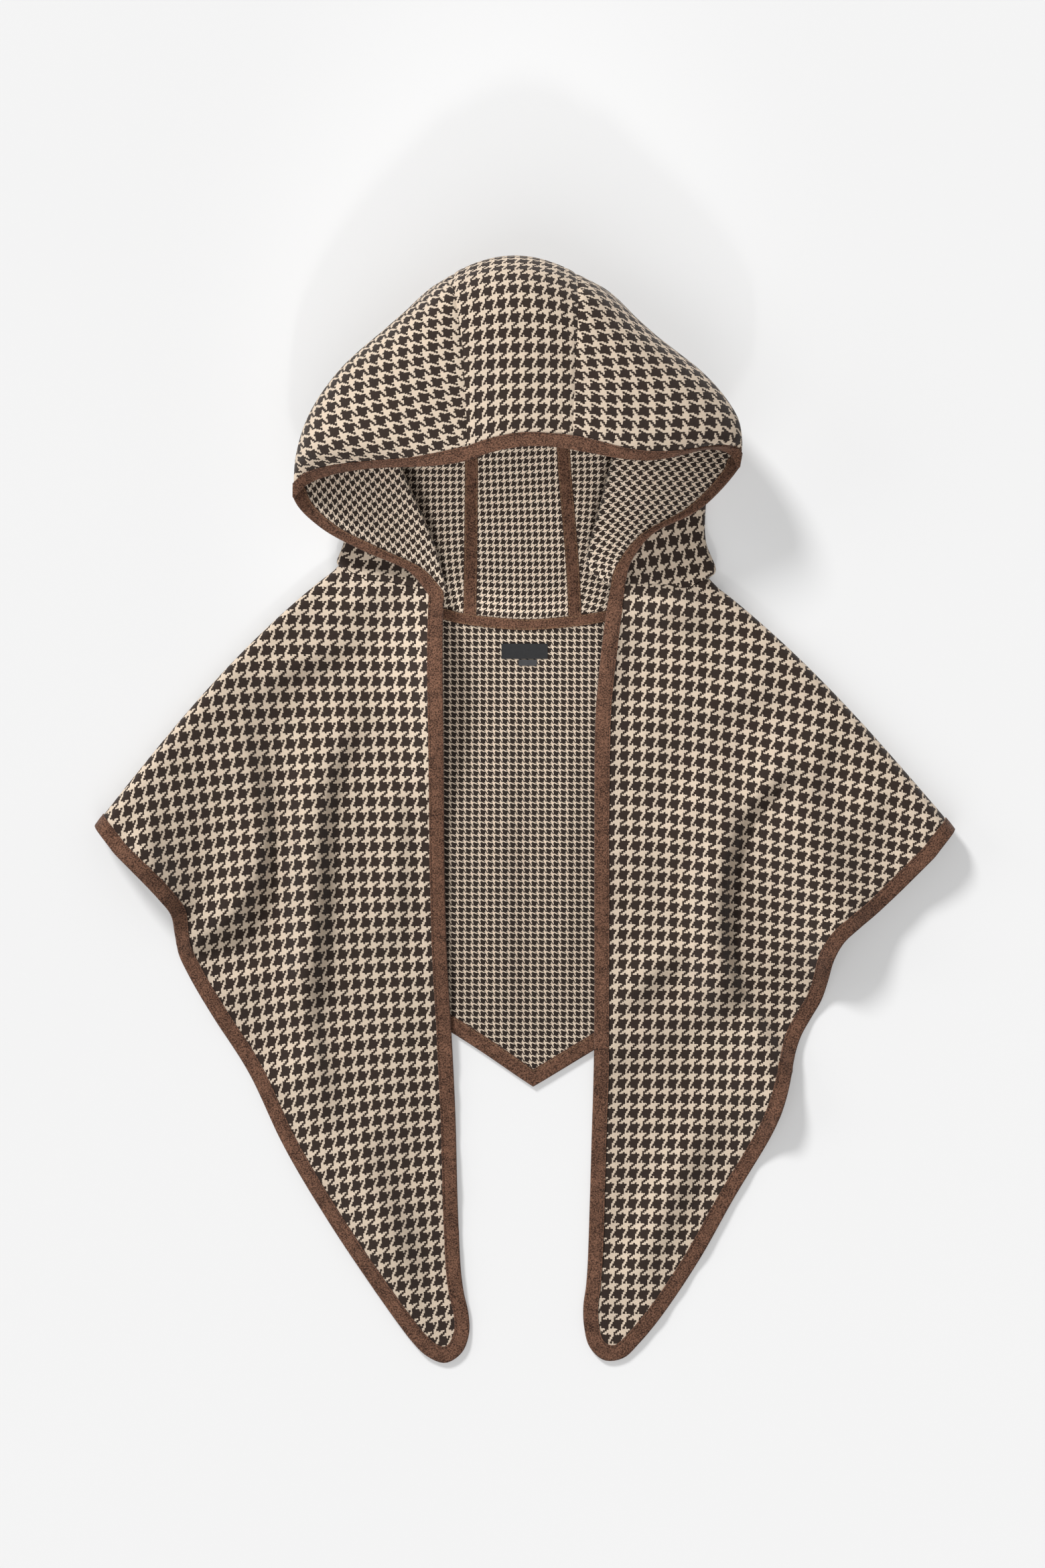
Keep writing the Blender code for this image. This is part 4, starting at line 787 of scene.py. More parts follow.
@dataclass
class Shell:
    """Wall of cloth around a middle surface, with its check in a cloth map."""

    name: str
    points: np.ndarray
    normals: np.ndarray
    faces: np.ndarray
    cloth: np.ndarray
    outer: np.ndarray | float = HALF_WALL
    inner: np.ndarray | float = HALF_WALL
    crisp_from: float = 60.0

    def build(self, faced: bpy.types.Material, lined: bpy.types.Material) -> bpy.types.Object:
        """The wall: outer face, inner face and the rim between them, with the finishes of both faces."""
        count = len(self.points)
        outer = np.broadcast_to(np.asarray(self.outer, float), count)[:, None]
        inner = np.broadcast_to(np.asarray(self.inner, float), count)[:, None]
        faces = np.asarray(self.faces)
        corners = self.points[faces[:, :3]]
        facing = np.cross(corners[:, 1] - corners[:, 0], corners[:, 2] - corners[:, 0])
        if (facing * self.normals[faces[:, 0]]).sum() < 0:
            faces = faces[:, ::-1]
        edges = np.concatenate([np.stack([faces[:, k], np.roll(faces, -1, axis=1)[:, k]], axis=1)
                                for k in range(faces.shape[1])])
        forward = {tuple(edge) for edge in edges.tolist()}
        rim = [(end, start, start + count, end + count) for start, end in forward
               if (end, start) not in forward]
        points = np.concatenate([self.points + self.normals * outer, self.points - self.normals * inner])
        points[:, 2] = np.maximum(points[:, 2], 0)
        every = faces.tolist() + (faces[:, ::-1] + count).tolist() + sorted(rim)
        built = make_object(self.name, points, every, [faced, lined])
        layer = np.zeros(len(every), int)
        layer[len(faces):2 * len(faces)] = 1
        built.data.polygons.foreach_set("material_index", layer)
        self.write_map(built.data, np.concatenate([self.cloth, self.cloth]) * MM)
        return smooth(built, self.crisp_from)

    @staticmethod
    def write_map(mesh: bpy.types.Mesh, cloth: np.ndarray) -> None:
        """Write the cloth map, in metres, to the mesh's corners."""
        corners = np.zeros(len(mesh.loops), int)
        mesh.loops.foreach_get("vertex_index", corners)
        mesh.uv_layers.new(name=CLOTH_MAP).data.foreach_set("uv", cloth[corners].ravel())


def flattened(points: np.ndarray, faces: np.ndarray) -> np.ndarray:
    """Flat pattern of a curved panel, up to its turn and its size.

    Args:
        points: Middle surface in millimetres.
        faces: Its faces.

    Returns:
        A plane place for each point.
    """
    built = make_object("panel_to_flatten", points, np.asarray(faces).tolist(), [])
    mesh = built.data
    mesh.uv_layers.new(name=CLOTH_MAP)
    choose(built)
    bpy.ops.object.mode_set(mode="EDIT")
    bpy.ops.mesh.select_all(action="SELECT")
    bpy.ops.uv.unwrap(method="MINIMUM_STRETCH", fill_holes=False, correct_aspect=False, margin=0.0)
    bpy.ops.object.mode_set(mode="OBJECT")
    corners = np.zeros(len(mesh.loops), int)
    mesh.loops.foreach_get("vertex_index", corners)
    places = np.zeros(2 * len(mesh.loops))
    mesh.uv_layers[0].data.foreach_get("uv", places)
    result = np.zeros((len(points), 2))
    result[corners] = places.reshape(-1, 2)
    bpy.data.objects.remove(built, do_unlink=True)
    bpy.data.meshes.remove(mesh)
    return result


def fitted(places: np.ndarray, chosen: np.ndarray, target: np.ndarray) -> np.ndarray:
    """Plane places turned, scaled and mirrored if need be, so that the chosen ones meet a target."""
    best = None
    for mirror in (1.0, -1.0):
        moved = places[:, 0] * mirror + 1j * places[:, 1]
        aim = target[:, 0] + 1j * target[:, 1]
        mine, theirs = moved[chosen] - moved[chosen].mean(), aim - aim.mean()
        turn = (np.conj(mine) * theirs).sum() / (np.abs(mine) ** 2).sum()
        miss = np.abs(mine * turn - theirs).sum()
        if best is None or miss < best[0]:
            best = (miss, (moved - moved[chosen].mean()) * turn + aim.mean())
    return np.column_stack([best[1].real, best[1].imag])


# Body

class Shoulder:
    """One shoulder fold, which turns the flat cloth over from the back to the front."""

    BOW_SHAPE = 0.8
    UNFOLD_ROUNDS = 8

    def __init__(self, side: Side) -> None:
        """Take the measures of one side."""
        table = SHOULDERS[side.value]
        self.neck = np.array(table["neck"])
        run = np.array(table["hem"]) - self.neck
        self.length = np.linalg.norm(run)
        self.along = run / self.length
        self.out = np.array([self.along[1], -self.along[0]]) * -side.sign
        self.bow_size = table["bow"]
        self.roll = np.array(table["roll"])[:, None]

    def radius(self, along: np.ndarray) -> np.ndarray:
        """Radius of the roll at distances from the neck."""
        return smooth_rows(self.roll, np.clip(along / self.length, 0, 1) * 2)[..., 0]

    def bow(self, along: np.ndarray, inward: np.ndarray) -> np.ndarray:
        """How far the fold stands out from its straight line."""
        share = np.clip(along / self.length, 0, 1) ** self.BOW_SHAPE
        return self.bow_size * np.sin(np.pi * share) * np.exp(-(inward / BOW_REACH) ** 2)

    def unfold(self, plan: list, front: bool) -> np.ndarray:
        """Flat-pattern places of points seen from above, on the front or on the back."""
        plan = np.atleast_2d(plan)
        away = plan - self.neck
        along = away @ self.along
        seen = -(away @ self.out)
        inward = seen.copy()
        for _ in range(self.UNFOLD_ROUNDS):
            inward = seen + self.bow(along, inward)
        out = inward + (np.pi - 2) * self.radius(along) if front else -inward
        return self.neck + along[:, None] * self.along + out[:, None] * self.out

    def fold_distance(self, flat: np.ndarray) -> tuple[np.ndarray, np.ndarray]:
        """Place along the fold, and distance in the cloth from its outermost line."""
        away = np.atleast_2d(flat) - self.neck
        along = away @ self.along
        return along, away @ self.out - (np.pi / 2 - 1) * self.radius(along)


@dataclass
class BodyForm:
    """Where the body's cloth lies, worked out from its flat pattern."""

    spacing: float = 5.0
    close_lines: tuple = (0.0, 2.0, 4.0, 6.0, 8.0, 10.5, 13.0, 16.0, 20.0)
    far_limit: float = 700.0
    clear_share: float = 0.55
    pucker: float = 0.28
    pucker_reach: float = 24.0
    wave_level: float = 0.9
    wave_height: float = 0.55
    shoulders: dict = field(default_factory=lambda: {side: Shoulder(side) for side in Side})

    def __post_init__(self) -> None:
        """Lay out the edge lines and the neck line of the flat pattern."""
        self.finished, self.edge, self.ring = self.edge_lines(EDGE_SPACING)
        self.dense_edge = at_lengths(self.finished, np.arange(0, run_length(self.finished)[-1], LINE_STEP))
        self.neck_rows = np.concatenate([
            self.shoulders[Side.LEFT].unfold(NECK_FRONT["left"], True), NECK_BACK,
            self.shoulders[Side.RIGHT].unfold(NECK_FRONT["right"], True)[::-1]])

    def coarse_edge(self) -> tuple[np.ndarray, int]:
        """Flat-pattern line of the finished edge from neck to neck, and the row of the hem's point."""
        front = {side: even_points(FRONT_OUTLINE[side.value], EDGE_STATION) for side in Side}
        left = self.shoulders[Side.LEFT].unfold(front[Side.LEFT], True)
        right = self.shoulders[Side.RIGHT].unfold(front[Side.RIGHT], True)
        back_left = self.shoulders[Side.LEFT].unfold(
            even_points(BACK_HEM[:BACK_POINT_ROW + 1], EDGE_STATION), False)
        back_right = self.shoulders[Side.RIGHT].unfold(
            even_points(BACK_HEM[BACK_POINT_ROW:], EDGE_STATION), False)
        turns = []
        for start, end in ((left[-1], back_left[0]), (back_right[-1], right[-1])):
            steps = round(np.linalg.norm(end - start) / (EDGE_STATION / 2))
            turns.append(np.linspace(start, end, steps + 1)[1:-1])
        point = len(left) + len(turns[0]) + len(back_left) - 1
        return np.concatenate([left, turns[0], back_left, back_right[1:], turns[1], right[::-1]]), point

    def edge_lines(self, spacing: float) -> list[np.ndarray]:
        """Finished edge, cloth edge and inner line of the binding, with matching points."""
        coarse, point = self.coarse_edge()
        lines = [coarse, inset(coarse, EDGE_COVER), inset(coarse, EDGE_COVER + BINDING_WIDTH)]
        at = []
        for part in (coarse[:point + 1], coarse[point:]):
            run = run_length(part)
            steps = round(run[-1] / spacing)
            at.append(np.interp(np.linspace(0, run[-1], steps + 1), run, np.arange(len(part))))
        return [np.concatenate([smooth_rows(line[:point + 1], at[0]), smooth_rows(line[point:], at[1])[1:]])
                for line in lines]

    @staticmethod
    def crease(stations: list, plan: np.ndarray) -> np.ndarray:
        """Height that one crease gives to points seen from above, its two flanks of unlike width."""
        dense = smooth_rows(stations, np.linspace(0, len(stations) - 1, CREASE_STEPS * len(stations)))
        low, high = dense[:, :2].min(axis=0) - CREASE_REACH, dense[:, :2].max(axis=0) + CREASE_REACH
        close = np.all((plan > low) & (plan < high), axis=1)
        away = plan[close][:, None] - dense[None, :, :2]
        index = np.argmin((away ** 2).sum(axis=2), axis=1)
        away = away[np.arange(len(index)), index]
        run = np.gradient(dense[:, :2], axis=0)[index]
        shaded = run[:, 0] * away[:, 1] - run[:, 1] * away[:, 0] > 0
        width = np.where(shaded, dense[index, 4], dense[index, 3])
        total = np.zeros(len(plan))
        total[close] = np.maximum(dense[index, 2], 0) * np.exp(-(away ** 2).sum(axis=1) / width ** 2)
        return total

    def relief(self, side: Side, plan: np.ndarray) -> np.ndarray:
        """Height of the folds and creases of one front at points seen from above."""
        total = np.zeros(len(plan))
        for stations in CREASES[side.value]:
            total += self.crease(stations, plan)
        for x0, y0, x1, y1, h0, h1, width in FOLDS[side.value]:
            start, run = np.array((x0, y0)), np.array((x1 - x0, y1 - y0))
            length = np.linalg.norm(run)
            away = plan - start
            along = away @ run / length
            across = (away[:, 0] * run[1] - away[:, 1] * run[0]) / length
            beyond = np.maximum(-along, 0) + np.maximum(along - length, 0)
            height = h0 + (h1 - h0) * np.clip(along / length, 0, 1)
            total += height * np.exp(-(across / width) ** 2 - (beyond / FOLD_END_FADE) ** 2)
        return total

    def ripple(self, plan: np.ndarray, edge: np.ndarray) -> np.ndarray:
        """Puckers that the stitching draws in beside the bound edge, and slow shallow waves elsewhere."""
        # The wave numbers are chosen to be uneven, so that no two waves look alike
        x, y = plan[:, 0], plan[:, 1]
        wave = np.sin(x * 0.21 + 1.7 * np.sin(y * 0.05)) + np.sin(y * 0.24 + 1.3 * np.sin(x * 0.06))
        slow = (np.sin(x * 0.083 + y * 0.031 + np.sin(y * 0.02)) * np.sin(y * 0.052 - x * 0.027)
                + np.sin(x * 0.047 - y * 0.071 + 1.4))
        puckers = self.pucker * wave * np.exp(-(edge / self.pucker_reach) ** 2)
        return puckers + self.wave_level + self.wave_height * slow

    def places(self, flat: np.ndarray, edge: np.ndarray) -> np.ndarray:
        """Places of the middle surface.

        Args:
            flat: Flat-pattern places.
            edge: Distance of each from the finished edge.

        Returns:
            Places in space, in millimetres.
        """
        flat = np.atleast_2d(flat)
        rise = (SEAM_GAP + BINDING_THICK) * (1 - ease((edge - RISE_FROM) / RISE_OVER))
        hem = np.array(BACK_HEM)
        lying = sum(self.crease(stations, flat) for stations in CREASES["back"])
        result = np.zeros((len(flat), 3))
        for side in Side:
            mine = flat[:, 0] >= 0 if side is Side.RIGHT else flat[:, 0] < 0
            fold = self.shoulders[side]
            along, cloth = fold.fold_distance(flat)
            radius = fold.radius(along)
            # Round the shoulder's roll and inwards from it
            quarter = np.pi / 2 * radius
            turn = np.clip(cloth / radius, -np.pi / 2, np.pi / 2)
            inward = radius * (1 - np.cos(turn)) + np.maximum(np.abs(cloth) - quarter, 0)
            plan = (fold.neck + along[:, None] * fold.along
                    - (inward - fold.bow(along, inward))[:, None] * fold.out)
            # The front: over the back's hem, on the roll's height near the fold, and with its folds
            past = np.maximum(cloth - quarter, 0)
            reach = ROLL_FADE[0] + (ROLL_FADE[1] - ROLL_FADE[0]) * np.clip(along / fold.length, 0, 1)
            below = np.interp(plan[:, 0], hem[:, 0], hem[:, 1]) - plan[:, 1]
            base = OVER_BACK * (1 - ease((below - DROP_START) / DROP_LENGTH))
            near_neck = NECK_RISE * ease((plan[:, 1] - NECK_RISE_FROM) / NECK_RISE_OVER)
            loop = np.maximum(2 * radius - base - near_neck, 0) * (1 - ease(past / reach))
            shown = ease(past / FOLD_CLEAR_OF_ROLL)
            folds = (self.relief(side, plan) + self.ripple(plan, edge)) * shown
            spare = base + near_neck + loop + rise
            front = HALF_WALL + np.maximum(spare + folds, np.minimum(spare, base + rise))
            # Front, roll and back in one
            rolled = HALF_WALL + radius * (1 + np.sin(turn))
            height = np.where(cloth > quarter, front, rolled)
            height = np.where(cloth < -quarter, HALF_WALL + rise + lying, height)
            height = np.where(np.abs(cloth) <= quarter, height + rise * np.sin(turn) ** 2, height)
            result[mine] = np.column_stack([plan, height])[mine]
        return result

    def surface(self, flat: np.ndarray) -> tuple[np.ndarray, np.ndarray]:
        """Places and outward normals at flat-pattern places."""
        edge = nearest(flat, self.dense_edge)
        step = 0.4
        right = self.places(flat + (step, 0), edge) - self.places(flat - (step, 0), edge)
        up = self.places(flat + (0, step), edge) - self.places(flat - (0, step), edge)
        return self.places(flat, edge), unit(np.cross(up, right))

    def neck_off(self, at: np.ndarray) -> np.ndarray:
        """Points of the neck curve moved off the body by the seam's gap."""
        step = 0.01
        run = unit(smooth_rows(self.neck_rows, at + step) - smooth_rows(self.neck_rows, at - step))
        return smooth_rows(self.neck_rows, at) + np.column_stack([-run[:, 1], run[:, 0]]) * SEAM_OFFSET

    def lattice(self, border: np.ndarray) -> np.ndarray:
        """Flat-pattern points in rows along both shoulder folds, clear of the border."""
        far = np.arange(self.close_lines[-1] + self.spacing, self.far_limit, self.spacing)
        ahead = np.concatenate([self.close_lines, far])
        offsets = np.concatenate([-ahead[:0:-1], ahead])
        left, right = self.shoulders[Side.LEFT], self.shoulders[Side.RIGHT]
        matrix = np.linalg.inv(np.array([left.out, right.out]))
        starts = [fold.neck @ fold.out + (np.pi / 2 - 1) * fold.roll[1, 0] for fold in (left, right)]
        one, other = np.meshgrid(offsets + starts[0], offsets + starts[1])
        points = np.column_stack([one.ravel(), other.ravel()]) @ matrix.T
        points = points[inside(points, border)]
        clear = nearest(points, at_lengths(np.concatenate([border, border[:1]]),
                                           np.arange(0, run_length(border)[-1], LINE_STEP)))
        return points[clear > self.spacing * self.clear_share]


@dataclass
class BodyCloth:
    """Both fronts and the back in one piece of cloth, folded at the shoulders.

    The check's rows lean where the wings hang outwards. left_lean is their slope at left_lean_from in
    degrees, how much it turns on the way down and over what height, and left_lean_growth how many
    degrees it grows by outwards and over what width. right_lean is the most that the rows of the right
    front slope, and over what width they come to it. Above right_lean_low they lean in full.
    """

    form: BodyForm
    flat_size: tuple = (1.61, 0.49)
    flat_area: float = 0.40
    neck_spacing: float = 4.0
    lean_fade: float = 150.0
    left_lean_from: float = -80.0
    left_lean_back: float = 20.0
    left_lean: tuple = (-5.0, 8.0, 400.0)
    left_lean_growth: tuple = (10.5, 190.0)
    right_lean_from: float = 60.0
    right_lean: tuple = (-12.5, 130.0)
    right_lean_low: float = -220.0

    def lean(self, flat: np.ndarray, plan: np.ndarray) -> np.ndarray:
        """How far the check's rows are drawn along the cloth where the wings hang outwards.

        Args:
            flat: Flat-pattern places.
            plan: The same places as seen from above.

        Returns:
            Shift of the rows along the cloth, in millimetres.
        """
        x, y = plan[:, 0], plan[:, 1]
        start, more, over = self.left_lean
        growth, span = self.left_lean_growth
        away = np.maximum(self.left_lean_from - x, -self.left_lean_back)
        left = (np.radians(start + more * ease(-y / over)) * away
                + np.radians(growth) / span * away ** 2 / 2)
        most, over = self.right_lean
        away = np.maximum(x - self.right_lean_from, 0)
        reach = np.minimum(away, over)
        slope = np.radians(most) / over
        right = ((slope * reach ** 2 / 2 + slope * over * (away - reach))
                 * ease((y - self.right_lean_low) / -self.right_lean_low))
        shift = np.where(x < 0, left, right)
        for side, mine in ((Side.LEFT, x < 0), (Side.RIGHT, x >= 0)):
            _, cloth = self.form.shoulders[side].fold_distance(flat)
            fade = np.where(cloth > 0, 1.0, 1 - ease(-cloth / self.lean_fade))
            shift = np.where(mine, shift * fade, shift)
        return shift

    def build(self, finishes: Finishes) -> bpy.types.Object:
        """The cloth, from its flat pattern."""
        form = self.form
        rows = form.neck_rows
        neck = smooth_rows(rows, np.linspace(0, len(rows) - 1, 1500))
        neck = at_lengths(neck, np.arange(self.neck_spacing / 2, 2000.0, self.neck_spacing))
        neck = neck[:np.argmax(np.linalg.norm(neck - rows[-1], axis=1) < self.neck_spacing * 0.75)]
        border = np.concatenate([form.edge, neck[::-1]])
        every = np.concatenate([border, form.lattice(border)])
        drawn = delaunay_2d_cdt([Vector(point) for point in every], [], [list(range(len(border)))],
                                1, 1e-5, True)
        source = np.array([origin[0] for origin in drawn[3]])
        faces = source[np.array(drawn[2])]
        faces = faces[inside(every[faces].mean(axis=1), border)]
        points, normals = form.surface(every)
        edge = nearest(every, form.dense_edge)
        press = EDGE_PRESS + (1 - EDGE_PRESS) * np.clip((edge - EDGE_COVER) / BINDING_WIDTH, 0, 1)
        half = HALF_WALL * press
        cloth = every[:, ::-1].copy()
        cloth[:, 1] += self.lean(every, points)
        shell = Shell("cape_cloth", points, normals, faces, cloth, half, half)
        built = shell.build(finishes.outer, finishes.inner)
        return settle(built, Slot.WOOL, "cape_body")


# Bindings and stitches

@dataclass
class Binding:
    """Tape folded over an edge and stitched through both sides."""

    shares: tuple = (11.0, 10.7, 10.1, 9.4, 8.7, 7.0, 4.5, 2.0, 0.0)
    stitch_from_edge: float = 9.4
    groove: float = 0.3
    groove_width: float = 0.7
    corner_drop: float = 0.5
    slack: float = 0.6
    inner: tuple = ((0, 11.0), (4, 8.7), (6, 4.5), (8, 0.0))
    nose: int = 7

    def far(self, share: float) -> float:
        """Height of the tape's outer face above the middle of the cloth."""
        press = EDGE_PRESS + (1 - EDGE_PRESS) * min(share / BINDING_WIDTH, 1)
        rounded = self.corner_drop * BINDING_THICK if share == self.shares[0] else 0.0
        sewn = float(dent(share - self.stitch_from_edge, self.groove, self.groove_width))
        return HALF_WALL * press + SEAM_GAP + BINDING_THICK - rounded + sewn

    def near(self, share: float) -> float:
        """Height of the tape's inner face above the middle of the cloth."""
        press = EDGE_PRESS + (1 - EDGE_PRESS) * min(share / BINDING_WIDTH, 1)
        return HALF_WALL * press + SEAM_GAP * self.slack

    def profiles(self, places: np.ndarray, normals: np.ndarray, out: np.ndarray) -> np.ndarray:
        """Profile of the tape at every station.

        Args:
            places: Stations by shares by coordinates of the cloth's middle surface.
            normals: Outward normals at the same places.
            out: Direction away from the cloth at each station's edge.

        Returns:
            Stations by profile points by coordinates.
        """
        columns = []
        for index, share in enumerate(self.shares):
            columns.append(places[:, index] + normals[:, index] * self.far(share))
        edge, up = places[:, -1], normals[:, -1]
        for angle in np.linspace(90, -90, self.nose + 2)[1:-1]:
            turn = math.radians(angle)
            columns.append(edge + out * EDGE_COVER * math.cos(turn) + up * self.far(0.0) * math.sin(turn))
        for index, share in reversed(list(enumerate(self.shares))):
            columns.append(places[:, index] - normals[:, index] * self.far(share))
        for index, share in self.inner:
            columns.append(places[:, index] - normals[:, index] * self.near(share))
        columns.append(edge + out * EDGE_SPACE * self.slack)
        for index, share in reversed(self.inner):
            columns.append(places[:, index] + normals[:, index] * self.near(share))
        return np.stack(columns, axis=1)


@dataclass
class Stitches:
    """A row of short stitches, each a small few-sided spindle."""

    pitch: float = 3.4
    length: float = 2.5
    radius: float = 0.26
    flatness: float = 0.8
    sides: int = 5
    rings: tuple = ((0, 0.35, -0.25), (0.24, 0.95, 0.1), (0.76, 0.95, 0.1), (1, 0.35, -0.25))

    def mesh(self, line: np.ndarray, normals: np.ndarray) -> tuple[np.ndarray, list]:
        """Points and faces of the stitches along a line.

        Args:
            line: Points of the sewn line, in millimetres.
            normals: Direction off the cloth at each.

        Returns:
            Points and faces.
        """
        run = run_length(line)
        centres = np.arange(self.pitch / 2, run[-1] - self.pitch / 2, self.pitch)
        at = [np.stack([np.interp(centres + shift, run, column) for column in line.T], axis=1)
              for shift in (-self.length / 2, 0.0, self.length / 2)]
        up = unit(np.stack([np.interp(centres, run, column) for column in normals.T], axis=1))
        along = unit(at[2] - at[0])
        across = unit(np.cross(along, up))
        angles = np.linspace(0, 2 * np.pi, self.sides, endpoint=False)
        around = (np.cos(angles)[None, :, None] * across[:, None]
                  + np.sin(angles)[None, :, None] * up[:, None] * self.flatness)
        points, faces = [], []
        for share, size, rise in self.rings:
            place = at[0] + (at[2] - at[0]) * share + up * rise * self.radius * 2
            points.append(place[:, None] + around * self.radius * size)
        points = np.stack(points, axis=1)
        last = len(self.rings) - 1
        base = []
        for ring in range(last):
            for corner in range(self.sides):
                following = (corner + 1) % self.sides
                low, high = ring * self.sides, (ring + 1) * self.sides
                base.append((low + corner, low + following, high + following, high + corner))
        base.append(tuple(range(self.sides))[::-1])
        base.append(tuple(last * self.sides + corner for corner in range(self.sides)))
        for start in range(0, len(centres) * (last + 1) * self.sides, (last + 1) * self.sides):
            faces += [tuple(corner + start for corner in face) for face in base]
        return points.reshape(-1, 3), faces

    def build(self, name: str, lines: list, material: bpy.types.Material) -> bpy.types.Object:
        """One object with the stitches of several lines."""
        points, faces, start = [], [], 0
        for line, normals in lines:
            more, shapes = self.mesh(line, normals)
            points.append(more)
            faces += [tuple(corner + start for corner in shape) for shape in shapes]
            start += len(more)
        return make_object(name, np.concatenate(points), faces, [material])


def bound_edge(name: str, rows: tuple, sewing: tuple, finishes: Finishes) -> list[bpy.types.Object]:
    """Binding of one edge, with its row of stitches on the outer and on the inner side.

    Args:
        name: First part of the pieces' names.
        rows: Places and normals under the tape, and the direction away from each station's edge.
        sewing: The binding and the stitches.
        finishes: Every material.

    Returns:
        The tape and both rows of stitches.
    """
    places, normals, out = rows
    binding, stitches = sewing
    built = tube(name + "_binding_tape", binding.profiles(places, normals, out), finishes.suede)
    settle(built, Slot.SUEDE, name + "_binding")
    row = binding.shares.index(binding.stitch_from_edge)
    off = binding.far(binding.stitch_from_edge) + STITCH_LIFT
    sewn, up = places[:, row], normals[:, row]
    outer = stitches.build(name + "_stitches_outer", [(sewn + up * off, up)], finishes.brown)
    inner = stitches.build(name + "_stitches_inner", [(sewn - up * off, -up)], finishes.tan)
    return [built, settle(smooth(outer), Slot.SUEDE), settle(smooth(inner), Slot.SUEDE)]


@dataclass
class BodyTrim:
    """Binding round both fronts and the hem, with its stitches."""

    form: BodyForm
    binding: Binding = field(default_factory=Binding)
    stitches: Stitches = field(default_factory=Stitches)

    def build(self, finishes: Finishes) -> list[bpy.types.Object]:
        """The binding and its stitches on the outer and the inner side."""
        form = self.form
        places, normals = [], []
        for share in self.binding.shares:
            flat = form.edge + (form.ring - form.edge) * share / BINDING_WIDTH
            place, normal = form.surface(flat)
            places.append(place)
            normals.append(normal)
        places, normals = np.stack(places, axis=1), np.stack(normals, axis=1)
        out = unit(places[:, -1] - places[:, -2])
        return bound_edge("body", (places, normals, out), (self.binding, self.stitches), finishes)


# Hood

@dataclass
class Panel:
    """One hood panel: a grid of places with its outward normals."""

    grid: np.ndarray
    normal: np.ndarray
    quads: np.ndarray
    reach: float = 14.0

    def sample(self, row: np.ndarray, column: np.ndarray) -> tuple[np.ndarray, np.ndarray]:
        """Places and normals at fractional grid places."""
        rows, columns = self.grid.shape[:2]
        row, column = np.clip(row, 0, rows - 1), np.clip(column, 0, columns - 1)
        r0 = np.minimum(np.floor(row).astype(int), rows - 2)
        c0 = np.minimum(np.floor(column).astype(int), columns - 2)
        fr, fc = (row - r0)[..., None], (column - c0)[..., None]
        result = []
        for table in (self.grid, self.normal):
            low = table[r0, c0] * (1 - fc) + table[r0, c0 + 1] * fc
            high = table[r0 + 1, c0] * (1 - fc) + table[r0 + 1, c0 + 1] * fc
            result.append(low * (1 - fr) + high * fr)
        return result[0], unit(result[1])

    def walk(self, start: tuple, way: tuple, lengths: np.ndarray) -> tuple[np.ndarray, np.ndarray]:
        """Places and normals at lengths along a straight grid way.

        Args:
            start: Row and column to start from.
            way: Rows and columns a step.
            lengths: Distances in the cloth, in millimetres.

        Returns:
            Places and normals.
        """
        steps = np.linspace(0, self.reach, round(self.reach * 5) + 1)
        places, normals = self.sample(start[0] + steps * way[0], start[1] + steps * way[1])
        run = run_length(places)
        run = run + np.arange(len(run)) * 1e-9
        found = [np.stack([np.interp(lengths, run, column) for column in table.T], axis=1)
                 for table in (places, normals)]
        return found[0], unit(found[1])


